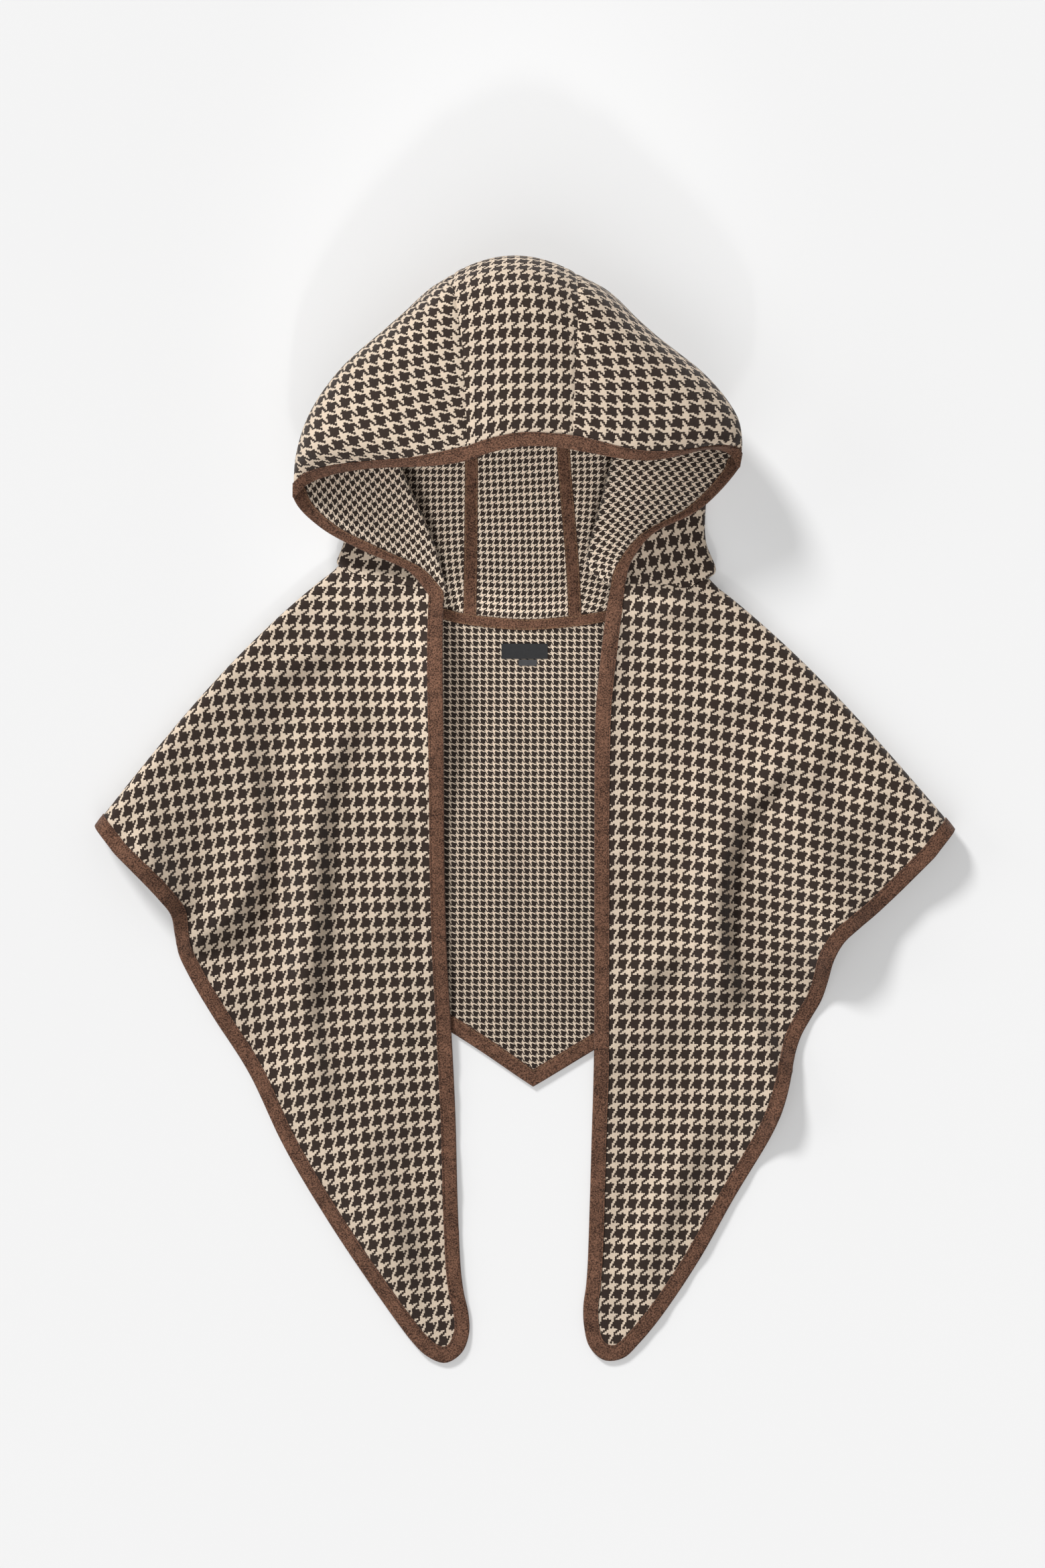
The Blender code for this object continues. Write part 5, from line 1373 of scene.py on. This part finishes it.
@dataclass
class HoodForm:
    """Three panels that share their seam lines."""

    body: BodyForm
    rows_below: int = 33
    binding_rows: int = 4
    binding_reach: float = 0.36
    row_step: float = 0.12
    closing_rows: tuple = (0.18, 0.1, 0.05, 0.02, 0.0)
    closing_from: float = 0.2
    near_seam: tuple = (0.0, 0.009, 0.018, 0.03, 0.045)
    crown_from: float = 0.07
    crown_steps: int = 30
    lapel_steps: int = 14
    roll_steps: int = 10
    middle_steps: int = 12
    fold_steps: int = 10
    bottom_steps: int = 18
    strip_half: tuple = (0.0, 1.2, 2.4, 3.8, 6.0, 8.0, 8.8, 9.4, 10.0, 10.8, 12.5, 16.0, 22.0, 29.0, 37.0)
    strip_width: float = 90.0
    corner_fan: int = 9

    def __post_init__(self) -> None:
        """Lay out the grids of the panels and their normals."""
        face_tail = np.linspace(FACE_ROW, FACE_ROW + self.binding_reach, self.binding_rows + 1)[1:]
        after = np.arange(face_tail[-1] + self.row_step, LAST_ROW - self.closing_from, self.row_step)
        closing = [LAST_ROW - shift for shift in self.closing_rows]
        self.rows = np.concatenate([np.linspace(0, FACE_ROW, self.rows_below), face_tail, after, closing])
        self.first_row = self.rows_below - 1
        across = np.linspace(self.crown_from, 1, self.crown_steps + 1 - len(self.near_seam))
        self.crown_shares = np.concatenate([self.near_seam, across])
        self.lip = self.crown_steps + 1
        half = np.array(self.strip_half) / self.strip_width
        self.strip = np.concatenate([half, [0.5], 1 - half[::-1]])
        grids = {side: self.side_grid(side) for side in Side}
        self.paths = {side: self.seam_path(grids[side]) for side in Side}
        centre = self.centre_grid(grids)
        self.panels = self.make_panels(grids, centre)

    @property
    def matched(self) -> int:
        """First column of a section that meets the body at the neck, counted from the lip."""
        return self.lapel_steps + self.roll_steps

    def neck_places(self, side: Side) -> np.ndarray:
        """Rows of the neck curve where one panel's columns meet it, from the front edge inwards."""
        rows = self.body.neck_rows
        at = np.linspace(0, len(rows) - 1, NECK_STEPS)
        dense = smooth_rows(rows, at)
        seam = len(NECK_FRONT["left"]) + [row[0] for row in NECK_BACK].index(
            HOOD_GUIDES[side.value]["seam_low"][0][0])
        half = dense[:, 0] * side.sign > 0
        fold = self.body.shoulders[side]
        along, cloth = fold.fold_distance(dense[half])
        turn = cloth / (np.pi / 2 * fold.radius(along))
        order = np.argsort(turn)
        folded = np.interp(np.linspace(1, -1, self.fold_steps + 1), turn[order], at[half][order])
        end = 0 if side is Side.LEFT else len(rows) - 1
        middle = np.linspace(end, folded[0], self.middle_steps + 1)
        bottom = np.linspace(folded[-1], seam, self.bottom_steps + 1)
        return np.concatenate([middle[:-1], folded, bottom[1:]])

    def neck_strip(self) -> np.ndarray:
        """Rows of the neck curve where the centre strip's columns meet it."""
        first = len(NECK_FRONT["left"])
        xs = [row[0] for row in NECK_BACK]
        left, right = (first + xs.index(HOOD_GUIDES[side.value]["seam_low"][0][0]) for side in Side)
        return left + (right - left) * self.strip

    def bezier(self, points: tuple, shares: np.ndarray | int, edge: bool = False) -> np.ndarray:
        """Points of a cubic curve, evenly along it or with the first ones under the binding."""
        t = np.linspace(0, 1, 80)[:, None]
        start, lead, tail, end = points
        dense = (start * (1 - t) ** 3 + 3 * lead * t * (1 - t) ** 2
                 + 3 * tail * t ** 2 * (1 - t) + end * t ** 3)
        length = run_length(dense)[-1]
        if not edge:
            return at_lengths(dense, np.linspace(0, length, shares + 1))
        bound = min(BINDING_WIDTH, length / 2)
        under = np.linspace(0, bound, self.binding_rows + 1)
        rest = np.linspace(bound, length, shares - self.binding_rows + 1)[1:]
        return at_lengths(dense, np.concatenate([under, rest]))

    def section(self, side: Side, row: int) -> dict[str, np.ndarray]:
        """One section across a hood side.

        Args:
            side: Which side.
            row: Row of the guides.

        Returns:
            Points of its regions: crown, lapel, roll, middle, fold and bottom.
        """
        guides = HOOD_GUIDES[side.value]
        steps = {"crown": self.crown_steps + 1, "lapel": self.lapel_steps, "roll": self.roll_steps,
                 "middle": self.middle_steps, "fold": self.fold_steps, "bottom": self.bottom_steps}
        if row == LAST_ROW:
            before = self.section(side, row - 1)
            run = run_length(np.concatenate([before[region] for region in steps]))
            share = run / run[-1] * (len(guides["far_seam"]) - 1)
            done, found = 0, {}
            for region, count in steps.items():
                found[region] = smooth_rows(guides["far_seam"], share[done:done + count + 1])
                done += count + 1
            return found
        lip = np.array(guides["lip"][row])
        roll, roll_radius = np.array(guides["roll"][row][:3]), guides["roll"][row][3]
        fold, fold_radius = np.array(guides["fold"][row][:3]), guides["fold"][row][3]
        seam = np.array(guides["seam_low"][row])
        out = unit(np.append(fold[:2] - seam[:2], 0))
        up = np.array((0, 0, 1.0))
        turn = np.linspace(np.pi / 2, -np.pi / 2, self.roll_steps + 1)[:, None]
        nose = roll + roll_radius * ((1 - np.cos(turn)) * out + np.sin(turn) * up)
        turn = np.linspace(np.pi / 2, -np.pi / 2, self.fold_steps + 1)[:, None]
        side_fold = fold + fold_radius * ((np.cos(turn) - 1) * out + np.sin(turn) * up)
        tail = nose[0] + out * np.linalg.norm(lip - nose[0]) / 3
        lead = lip - up * LIP_DROP if row > FACE_ROW else lip + (tail - lip) / 3
        reach = np.linalg.norm(side_fold[0] - nose[-1]) / 3
        found = {
            "lapel": self.bezier((lip, lead, tail, nose[0]), self.lapel_steps, edge=True),
            "roll": nose,
            "middle": self.bezier((nose[-1], nose[-1] + out * reach, side_fold[0] - out * reach,
                                   side_fold[0]), self.middle_steps),
            "fold": side_fold,
            "bottom": side_fold[-1] + (seam - side_fold[-1]) * np.linspace(
                0, 1, self.bottom_steps + 1)[:, None],
        }
        above = lip + up * LIP_RISE
        if row == FACE_ROW:
            rows = guides["face_edge"][:-1] + [tuple(above)]
            found["crown"] = np.concatenate([smooth_rows(rows, self.crown_shares * (len(rows) - 1)), [lip]])
        if row > FACE_ROW:
            top = np.array(guides["seam_top"][row - FACE_ROW])
            turn = (self.crown_shares * np.pi / 2)[:, None]
            crown = top + (above - top) * np.sin(turn)
            crown[:, 2:] = above[2] + (top[2] - above[2]) * np.cos(turn) ** CROWN_FULLNESS
            found["crown"] = np.concatenate([crown, [lip]])
        return found

    def side_grid(self, side: Side) -> np.ndarray:
        """Grid of one hood side: rows from the neck, columns from the top seam to the low one."""
        sections = [self.section(side, row) for row in range(LAST_ROW + 1)]
        order = ("roll", "middle", "fold", "bottom")
        under = np.array([np.concatenate([part["lapel"]] + [part[name][1:] for name in order])
                          for part in sections])
        neck, _ = self.body.surface(self.body.neck_off(self.neck_places(side)))
        under[0, self.matched:] = neck
        crown = np.array([part["crown"] for part in sections[FACE_ROW:]])
        under_grid = smooth_rows(under, self.rows)
        crown_grid = smooth_rows(crown, np.maximum(self.rows - FACE_ROW, 0))
        bound = np.arange(1, self.binding_rows + 1)
        for column in range(crown.shape[1]):
            line = smooth_rows(crown[:, column], np.linspace(0, 1, 60))
            crown_grid[self.first_row + bound, column] = at_lengths(
                line, BINDING_WIDTH * bound / self.binding_rows)
        beyond = self.rows >= FACE_ROW
        under_grid[beyond, 0] = crown_grid[beyond, -1]
        return np.concatenate([crown_grid[:, :-1], under_grid], axis=1)

    def seam_path(self, grid: np.ndarray) -> list[tuple[int, int]]:
        """Grid places along a side's seam, from the neck round the closed end to the face edge."""
        rows, columns = grid.shape[0] - 1, grid.shape[1] - 1
        low = [(row, columns) for row in range(rows)]
        far = [(rows, column) for column in range(columns, -1, -1)]
        return low + far + [(row, 0) for row in range(rows - 1, self.first_row - 1, -1)]

    def centre_grid(self, grids: dict) -> np.ndarray:
        """Grid of the centre strip between the two seams."""
        lines = [np.array([grids[side][place] for place in self.paths[side]]) for side in Side]
        share = self.strip
        grid = lines[0][:, None] * (1 - share)[:, None] + lines[1][:, None] * share[:, None]
        run = run_length(lines[0])
        swell = smooth_rows(CENTRE_SWELL, run / run[-1] * (len(CENTRE_SWELL) - 1))
        arch = 4 * share * (1 - share)
        grid[:, :, 1:] += swell[:, None] * arch[:, None]
        grid[0], _ = self.body.surface(self.body.neck_off(self.neck_strip()))
        return grid

    def side_quads(self, rows: int, columns: int) -> np.ndarray:
        """Faces of a side panel, without the part of its grid in front of the crown."""
        row, column = np.meshgrid(np.arange(rows - 1), np.arange(columns - 1), indexing="ij")
        kept = (row >= self.first_row) | (column >= self.lip)
        low = (row * columns + column)[kept]
        return np.stack([low, low + 1, low + columns + 1, low + columns], axis=1)

    def make_panels(self, grids: dict, centre: np.ndarray) -> dict:
        """Panels with outward normals that they share along their seams."""
        tables = {**grids, "centre": centre}
        quads = {side: self.side_quads(*grids[side].shape[:2]) for side in Side}
        rows, columns = centre.shape[:2]
        low = (np.arange(rows - 1)[:, None] * columns + np.arange(columns - 1)).ravel()
        quads["centre"] = np.stack([low, low + 1, low + columns + 1, low + columns], axis=1)
        sums = {}
        for name, table in tables.items():
            points = table.reshape(-1, 3)
            total = np.zeros_like(points)
            a, b, c, d = (points[quads[name][:, k]] for k in range(4))
            facet = np.cross(c - a, d - b) * (1.0 if name is Side.RIGHT else -1.0)
            for k in range(4):
                np.add.at(total, quads[name][:, k], facet)
            sums[name] = total
        for side, column in ((Side.LEFT, 0), (Side.RIGHT, columns - 1)):
            width = grids[side].shape[1]
            mine = [row * width + place for row, place in self.paths[side]]
            theirs = [step * columns + column for step in range(rows)]
            shared = sums[side][mine] + sums["centre"][theirs]
            sums[side][mine] = shared
            sums["centre"][theirs] = shared
        return {name: Panel(table, unit(sums[name]).reshape(table.shape), quads[name])
                for name, table in tables.items()}

    def seam_distance(self, side: Side) -> np.ndarray:
        """Distance in the cloth of a side's crown columns from the top seam."""
        grid = self.panels[side].grid
        step = np.linalg.norm(np.diff(grid, axis=1), axis=2)
        from_top = np.concatenate([np.zeros((len(grid), 1)), np.cumsum(step, axis=1)], axis=1)
        back = np.linalg.norm(np.diff(grid, axis=0), axis=2)[::-1]
        from_end = np.concatenate([np.zeros((1, grid.shape[1])), np.cumsum(back, axis=0)])[::-1]
        return np.minimum(from_top, from_end)


@dataclass
class HoodCloth:
    """The three panels of the hood."""

    form: HoodForm
    seam_depth: float = 0.9
    seam_width: float = 2.5
    topstitch: float = 9.4
    topstitch_depth: float = 0.45
    topstitch_width: float = 1.1
    matched_rows: int = 60
    sizes: dict = field(default_factory=lambda: {
        Side.LEFT: ((0.36, 0.38), 0.075), Side.RIGHT: ((0.36, 0.38), 0.081), "centre": ((0.10, 0.56), 0.047)})

    def side(self, side: Side, finishes: Finishes) -> bpy.types.Object:
        """One side panel, with its check laid out by flattening it."""
        panel = self.form.panels[side]
        points = panel.grid.reshape(-1, 3)
        used = np.unique(panel.quads)
        renumber = np.zeros(len(points), int)
        renumber[used] = np.arange(len(used))
        faces = renumber[panel.quads]
        points, normals = points[used], panel.normal.reshape(-1, 3)[used]
        columns = panel.grid.shape[1]
        chosen = (used % columns >= columns - self.form.bottom_steps) & (used // columns < self.matched_rows)
        target = np.column_stack([-points[chosen, 0], points[chosen, 1]])
        cloth = fitted(flattened(points, faces), chosen, target)
        groove = dent(self.form.seam_distance(side).ravel()[used], self.seam_depth, self.seam_width)
        name = "hood_cloth_" + side.value
        shell = Shell(name, points, normals, faces, cloth, HALF_WALL + groove)
        # Inner face: the lighter copy of the small check, which paints light into the hood's shade
        built = shell.build(finishes.outer, finishes.hood_inner_painted_light)
        return settle(built, Slot.WOOL, "hood_" + side.value)

    def centre(self, finishes: Finishes) -> bpy.types.Object:
        """The centre strip, from the back neck over the crown to the face edge."""
        panel = self.form.panels["centre"]
        grid = panel.grid
        step = np.linalg.norm(np.diff(grid, axis=1), axis=2)
        across = np.concatenate([np.zeros((len(grid), 1)), np.cumsum(step, axis=1)], axis=1)
        width = across[:, -1:]
        along = run_length(grid[:, grid.shape[1] // 2])[:, None]
        cloth = np.stack([width / 2 - across, np.broadcast_to(along, across.shape)], axis=-1)
        from_seam = np.minimum(across, width - across)
        groove = dent(from_seam, self.seam_depth, self.seam_width)
        groove += dent(from_seam - self.topstitch, self.topstitch_depth, self.topstitch_width)
        shell = Shell("hood_cloth_centre", grid.reshape(-1, 3), panel.normal.reshape(-1, 3), panel.quads,
                      cloth.reshape(-1, 2), HALF_WALL + groove.ravel())
        # Inner face: the lighter copy of the small check, which paints light into the hood's shade
        built = shell.build(finishes.outer, finishes.hood_inner_painted_light)
        return settle(built, Slot.WOOL, "hood_centre")

    def build(self, finishes: Finishes) -> dict:
        """All three panels."""
        return {Side.LEFT: self.side(Side.LEFT, finishes), Side.RIGHT: self.side(Side.RIGHT, finishes),
                "centre": self.centre(finishes)}


@dataclass
class HoodTrim:
    """Binding of the face edge, the tapes over the seams and their stitches."""

    form: HoodForm
    binding: Binding = field(default_factory=Binding)
    stitches: Stitches = field(default_factory=Stitches)
    tape_stitch: float = 4.4
    tape_groove: tuple = (0.25, 0.6)
    tape_corner: float = 0.35
    tape_from: int = 1
    tape_short: int = 6
    run_on: tuple = (((0.5, -9.0, -1.0), (0.2, -4.5, -0.3)), ((-0.4, -4.5, -0.3), (-1.0, -9.0, -1.0)))
    tape_shares: tuple = (-5.5, -5.2, -4.8, -4.4, -4.0, -2.0, 0.0, 2.0, 4.0, 4.4, 4.8, 5.2, 5.5)

    def edge_stations(self) -> tuple[np.ndarray, np.ndarray]:
        """Places and normals under the binding at every station of the face edge."""
        form = self.form
        top, lip = form.first_row, form.lip
        walks = []
        for side in Side:
            panel = form.panels[side]
            fan = [math.radians(angle) for angle in np.linspace(0, 90, form.corner_fan + 2)[1:-1]]
            run = [(panel, (row, lip), (0, 1)) for row in range(top + 1)]
            run += [(panel, (top, lip), (math.sin(angle), math.cos(angle))) for angle in fan]
            run += [(panel, (top, column), (1, 0)) for column in range(lip, -1, -1)]
            walks.append(run if side is Side.LEFT else run[::-1])
        centre = form.panels["centre"]
        last = centre.grid.shape[0] - 1
        middle = [(centre, (last, column), (-1, 0)) for column in range(1, centre.grid.shape[1] - 1)]
        found = [panel.walk(start, way, np.array(self.binding.shares))
                 for panel, start, way in walks[0] + middle + walks[1]]
        places, normals = (np.array(column) for column in zip(*found))
        ahead, behind = (np.array(slide)[:, None] for slide in self.run_on)
        places = np.concatenate([places[:1] + ahead, places, places[-1:] + behind])
        return places, np.concatenate([normals[:1]] * 2 + [normals] + [normals[-1:]] * 2)

    def face_binding(self, finishes: Finishes) -> list[bpy.types.Object]:
        """The face edge's binding and its stitches."""
        places, normals = self.edge_stations()
        out = places[:, -1] - places[:, -2]
        out = unit(out - normals[:, -1] * (out * normals[:, -1]).sum(axis=1, keepdims=True))
        return bound_edge("hood", (places, normals, out), (self.binding, self.stitches), finishes)

    def tape_lines(self, side: Side) -> tuple[np.ndarray, np.ndarray, np.ndarray, np.ndarray]:
        """Seam places, normals, and the directions into the side and into the centre strip."""
        form = self.form
        panel, centre = form.panels[side], form.panels["centre"]
        rows, columns = panel.grid.shape[0] - 1, panel.grid.shape[1] - 1
        path = form.paths[side][self.tape_from:-self.tape_short]
        seam = np.array([panel.grid[place] for place in path])
        normal = np.array([panel.normal[place] for place in path])
        run = unit(np.gradient(seam, axis=0))
        reach = np.array([0.0, TAPE_WIDTH / 2])
        column, way = (0, 1) if side is Side.LEFT else (centre.grid.shape[1] - 1, -1)
        arms = [[], []]
        for step, (row, place) in enumerate(path):
            if row == rows:
                into = (-1, 0.0)
            else:
                into = (0, -1) if place == columns else (0, 1)
            arms[0].append(panel.walk((row, place), into, reach)[0][1])
            arms[1].append(centre.walk((step + self.tape_from, column), (0, way), reach)[0][1])
        ends = []
        for arm in arms:
            away = np.array(arm) - seam
            ends.append(unit(away - run * (away * run).sum(axis=1, keepdims=True)))
        return seam, normal, ends[0], ends[1]

    def seam_tape(self, side: Side, finishes: Finishes) -> list[bpy.types.Object]:
        """The tape inside one seam, sewn down along both of its edges."""
        seam, normal, into_side, into_centre = self.tape_lines(side)
        low = HALF_WALL + TAPE_CLEARANCE * 0.5
        columns, lines = [], []
        for share in self.tape_shares:
            arm = into_side if share < 0 else into_centre
            place = seam + arm * abs(share)
            end = self.tape_corner if abs(share) == TAPE_WIDTH / 2 else 0.0
            sewn = float(dent(abs(share) - self.tape_stitch, *self.tape_groove))
            columns.append(place - normal * (low + TAPE_THICK - end + sewn))
            if abs(share) == self.tape_stitch:
                lines.append((place - normal * (low + TAPE_THICK), -normal))
        for share in (self.tape_shares[-1], 0.0, self.tape_shares[0]):
            arm = into_side if share < 0 else into_centre
            columns.append(seam + arm * abs(share) - normal * low)
        name = "hood_tape_" + side.value
        built = tube(name + "_sewn", np.stack(columns, axis=1), finishes.suede)
        sewn = self.stitches.build(name + "_stitches", lines, finishes.tan)
        return [settle(built, Slot.SUEDE, name), settle(smooth(sewn), Slot.SUEDE)]

    def build(self, finishes: Finishes) -> dict:
        """Binding and tapes, with what is sewn on each panel."""
        face = self.face_binding(finishes)
        return {"face": face, **{side: self.seam_tape(side, finishes) for side in Side}}


@dataclass
class NeckTrim:
    """Tape over the back neck seam, the bare label and the bare size tab."""

    form: BodyForm
    stitches: Stitches = field(default_factory=Stitches)
    label_centre: tuple = (0.0, 130.6)
    label_size: tuple = (38.0, 12.5, 0.6)
    tab_centre: tuple = (2.7, 121.2)
    tab_size: tuple = (15.0, 5.0, 0.5)
    tape_stations: int = 90
    tape_ends: tuple = (0.2, 1.2)
    tape_profile: tuple = ((0.0, 0.3), (0.3, 0.05), (0.9, 0.2), (1.5, 0.0))
    tape_stitch: float = 0.9
    hem: tuple = (0.8, 0.12)
    soft_edge: float = 0.15

    def tape(self, finishes: Finishes) -> list[bpy.types.Object]:
        """The neck tape, lying flat on the back."""
        first = len(NECK_FRONT["left"])
        start, end = first + self.tape_ends[0], first + len(NECK_BACK) - self.tape_ends[1]
        line = smooth_rows(self.form.neck_rows, np.linspace(start, end, self.tape_stations))
        run = unit(np.gradient(line, axis=0))
        side = np.column_stack([-run[:, 1], run[:, 0]])
        low = 2 * HALF_WALL + TAPE_CLEARANCE * 0.5
        top = 2 * HALF_WALL + TAPE_CLEARANCE + TAPE_THICK
        half = NECK_TAPE_WIDTH / 2
        rising = [(-half, low)] + [(-half + inward, top - drop) for inward, drop in self.tape_profile]
        shape = rising + [(-across, height) for across, height in reversed(rising)]
        columns = [np.column_stack([line + side * across, np.full(len(line), height)])
                   for across, height in shape]
        built = tube("neck_tape_sewn", np.stack(columns, axis=1), finishes.suede)
        up = np.tile((0.0, 0.0, 1.0), (len(line), 1))
        lines = [(np.column_stack([line + side * across, np.full(len(line), top - 0.05)]), up)
                 for across in (-half + self.tape_stitch, half - self.tape_stitch)]
        sewn = self.stitches.build("neck_tape_stitches", lines, finishes.tan)
        return [settle(built, Slot.SUEDE, "neck_tape"), settle(smooth(sewn), Slot.SUEDE)]

    def ribbon(self, name: str, centre: tuple, size: tuple, material: bpy.types.Material) -> bpy.types.Object:
        """A small woven patch with soft edges and a raised border, modelled from a cube."""
        bpy.ops.object.select_all(action="DESELECT")
        low = 2 * HALF_WALL + SEAM_GAP
        bpy.ops.mesh.primitive_cube_add(size=1.0, location=(0, 0, 0))
        built = bpy.context.active_object
        built.name = name
        built.scale = [part * MM for part in size]
        built.location = (centre[0] * MM, centre[1] * MM, (low + size[2] / 2) * MM)
        bpy.ops.object.transform_apply(location=True, rotation=True, scale=True)
        bpy.ops.object.mode_set(mode="EDIT")
        bpy.ops.mesh.select_all(action="DESELECT")
        bpy.ops.object.mode_set(mode="OBJECT")
        for face in built.data.polygons:
            face.select = face.normal.z > 0.5
        bpy.ops.object.mode_set(mode="EDIT")
        bpy.ops.mesh.inset(thickness=self.hem[0] * MM, depth=-self.hem[1] * MM)
        bpy.ops.mesh.subdivide(number_cuts=4)
        bpy.ops.object.mode_set(mode="OBJECT")
        bevel = built.modifiers.new("soft edge", "BEVEL")
        bevel.width = self.soft_edge * MM
        bevel.segments = 2
        bevel.limit_method = "ANGLE"
        bpy.ops.object.modifier_apply(modifier=bevel.name)
        built.data.materials.clear()
        built.data.materials.append(material)
        return smooth(built)

    def build(self, finishes: Finishes) -> dict:
        """Tape, label and tab."""
        label = self.ribbon("label_ribbon", self.label_centre, self.label_size, finishes.label)
        tab = self.ribbon("tab_ribbon", self.tab_centre, self.tab_size, finishes.tab)
        return {"tape": self.tape(finishes), "label": settle(label, Slot.LABEL, "label"),
                "tab": settle(tab, Slot.TAB, "size_tab")}


# Studio

@dataclass
class Studio:
    """Pale floor, soft light from the upper left, and the camera straight above.

    Lamps have the direction their light goes seen from above, the elevation and the width in the sky
    in degrees. The reflector's measures are in metres and watts.
    """

    centre: tuple = (-1.7, 21.7)
    view_height: float = 1287.0
    lens: float = 500.0
    sensor: float = 36.0
    suns: tuple = (
        ("key", (0.54, -0.842), 34.3, 2.96, 12.0),
        ("front", (0.25, 0.97), 46.0, 0.9, 60.0),
        ("rake", (0.98, -0.2), 24.0, 0.3, 25.0),
    )
    fill: float = 0.34
    reflector_place: tuple = (-0.05, -1.0, 0.9)
    reflector_target: tuple = (-0.01, 0.26, 0.02)
    reflector_power: float = 72.0
    reflector_cone: float = 15.0
    reflector_size: float = 0.12
    floor_size: float = 60.0
    floor_tint: Colour = (0.56, 0.56, 0.56)
    floor_glow: float = 0.28
    floor_drop: float = 0.4

    def sun(self, name: str, way: tuple, elevation: float, strength: float, softness: float) -> None:
        """A distant lamp.

        Args:
            name: Its name.
            way: Direction that its light goes, seen from above.
            elevation: Its height above the horizon in degrees.
            strength: Its strength.
            softness: Its width in the sky in degrees.
        """
        flat, steep = math.cos(math.radians(elevation)), math.sin(math.radians(elevation))
        lamp = bpy.data.lights.new(name, "SUN")
        lamp.energy = strength
        lamp.angle = math.radians(softness)
        built = bpy.data.objects.new(name, lamp)
        aim = Vector((way[0] * flat, way[1] * flat, -steep))
        built.rotation_euler = aim.to_track_quat("-Z", "Y").to_euler()
        bpy.context.collection.objects.link(built)

    def reflector(self) -> None:
        """A soft light low in front, which reaches into the hood."""
        lamp = bpy.data.lights.new("reflector", "SPOT")
        lamp.energy = self.reflector_power
        lamp.spot_size = math.radians(self.reflector_cone)
        lamp.spot_blend = 1.0
        lamp.shadow_soft_size = self.reflector_size
        built = bpy.data.objects.new("reflector", lamp)
        built.location = self.reflector_place
        way = Vector(self.reflector_target) - Vector(self.reflector_place)
        built.rotation_euler = way.to_track_quat("-Z", "Y").to_euler()
        bpy.context.collection.objects.link(built)

    def build(self) -> None:
        """Floor, lights and camera."""
        bpy.ops.object.select_all(action="DESELECT")
        bpy.ops.mesh.primitive_plane_add(size=self.floor_size, location=(0, 0, -self.floor_drop * MM))
        floor = bpy.context.active_object
        floor.name = "floor"
        floor.data.materials.append(Paper("pale_floor", self.floor_tint, self.floor_glow).make())
        for sun in self.suns:
            self.sun(*sun)
        self.reflector()
        world = bpy.data.worlds.new("studio")
        world.use_nodes = True
        background = world.node_tree.nodes["Background"]
        background.inputs[0].default_value = (1.0, 1.0, 1.0, 1.0)
        background.inputs[1].default_value = self.fill
        scene = bpy.context.scene
        scene.world = world
        scene.view_settings.view_transform = "Standard"
        scene.view_settings.look = "None"
        camera = bpy.data.cameras.new("above")
        camera.lens = self.lens
        camera.sensor_width = self.sensor
        distance = self.lens / self.sensor * self.view_height * MM
        camera.clip_end = distance * 4
        above = bpy.data.objects.new("above", camera)
        above.location = (self.centre[0] * MM, self.centre[1] * MM, distance)
        bpy.context.collection.objects.link(above)
        scene.camera = above


def declare_sheets(trim: list, neck: dict) -> None:
    """Put the trim and the neck pieces in one list, which is not kept.

    Args:
        trim: Its binding and stitches.
        neck: Tape, label and tab at the back neck.
    """
    trim + neck["tape"] + [neck["label"], neck["tab"]]


def main() -> None:
    """Build the cape piece by piece, then the studio."""
    logging.basicConfig(level=logging.INFO, format="%(message)s")
    finishes = Finishes()
    form = BodyForm()
    cloth = BodyCloth(form)
    body = cloth.build(finishes)
    trim = BodyTrim(form).build(finishes)
    hood_form = HoodForm(form)
    panels = HoodCloth(hood_form)
    hood = panels.build(finishes)
    hood_trim = HoodTrim(hood_form).build(finishes)
    neck = NeckTrim(form).build(finishes)
    declare_sheets(trim, neck)
    Studio().build()


if __name__ == "__main__":
    main()
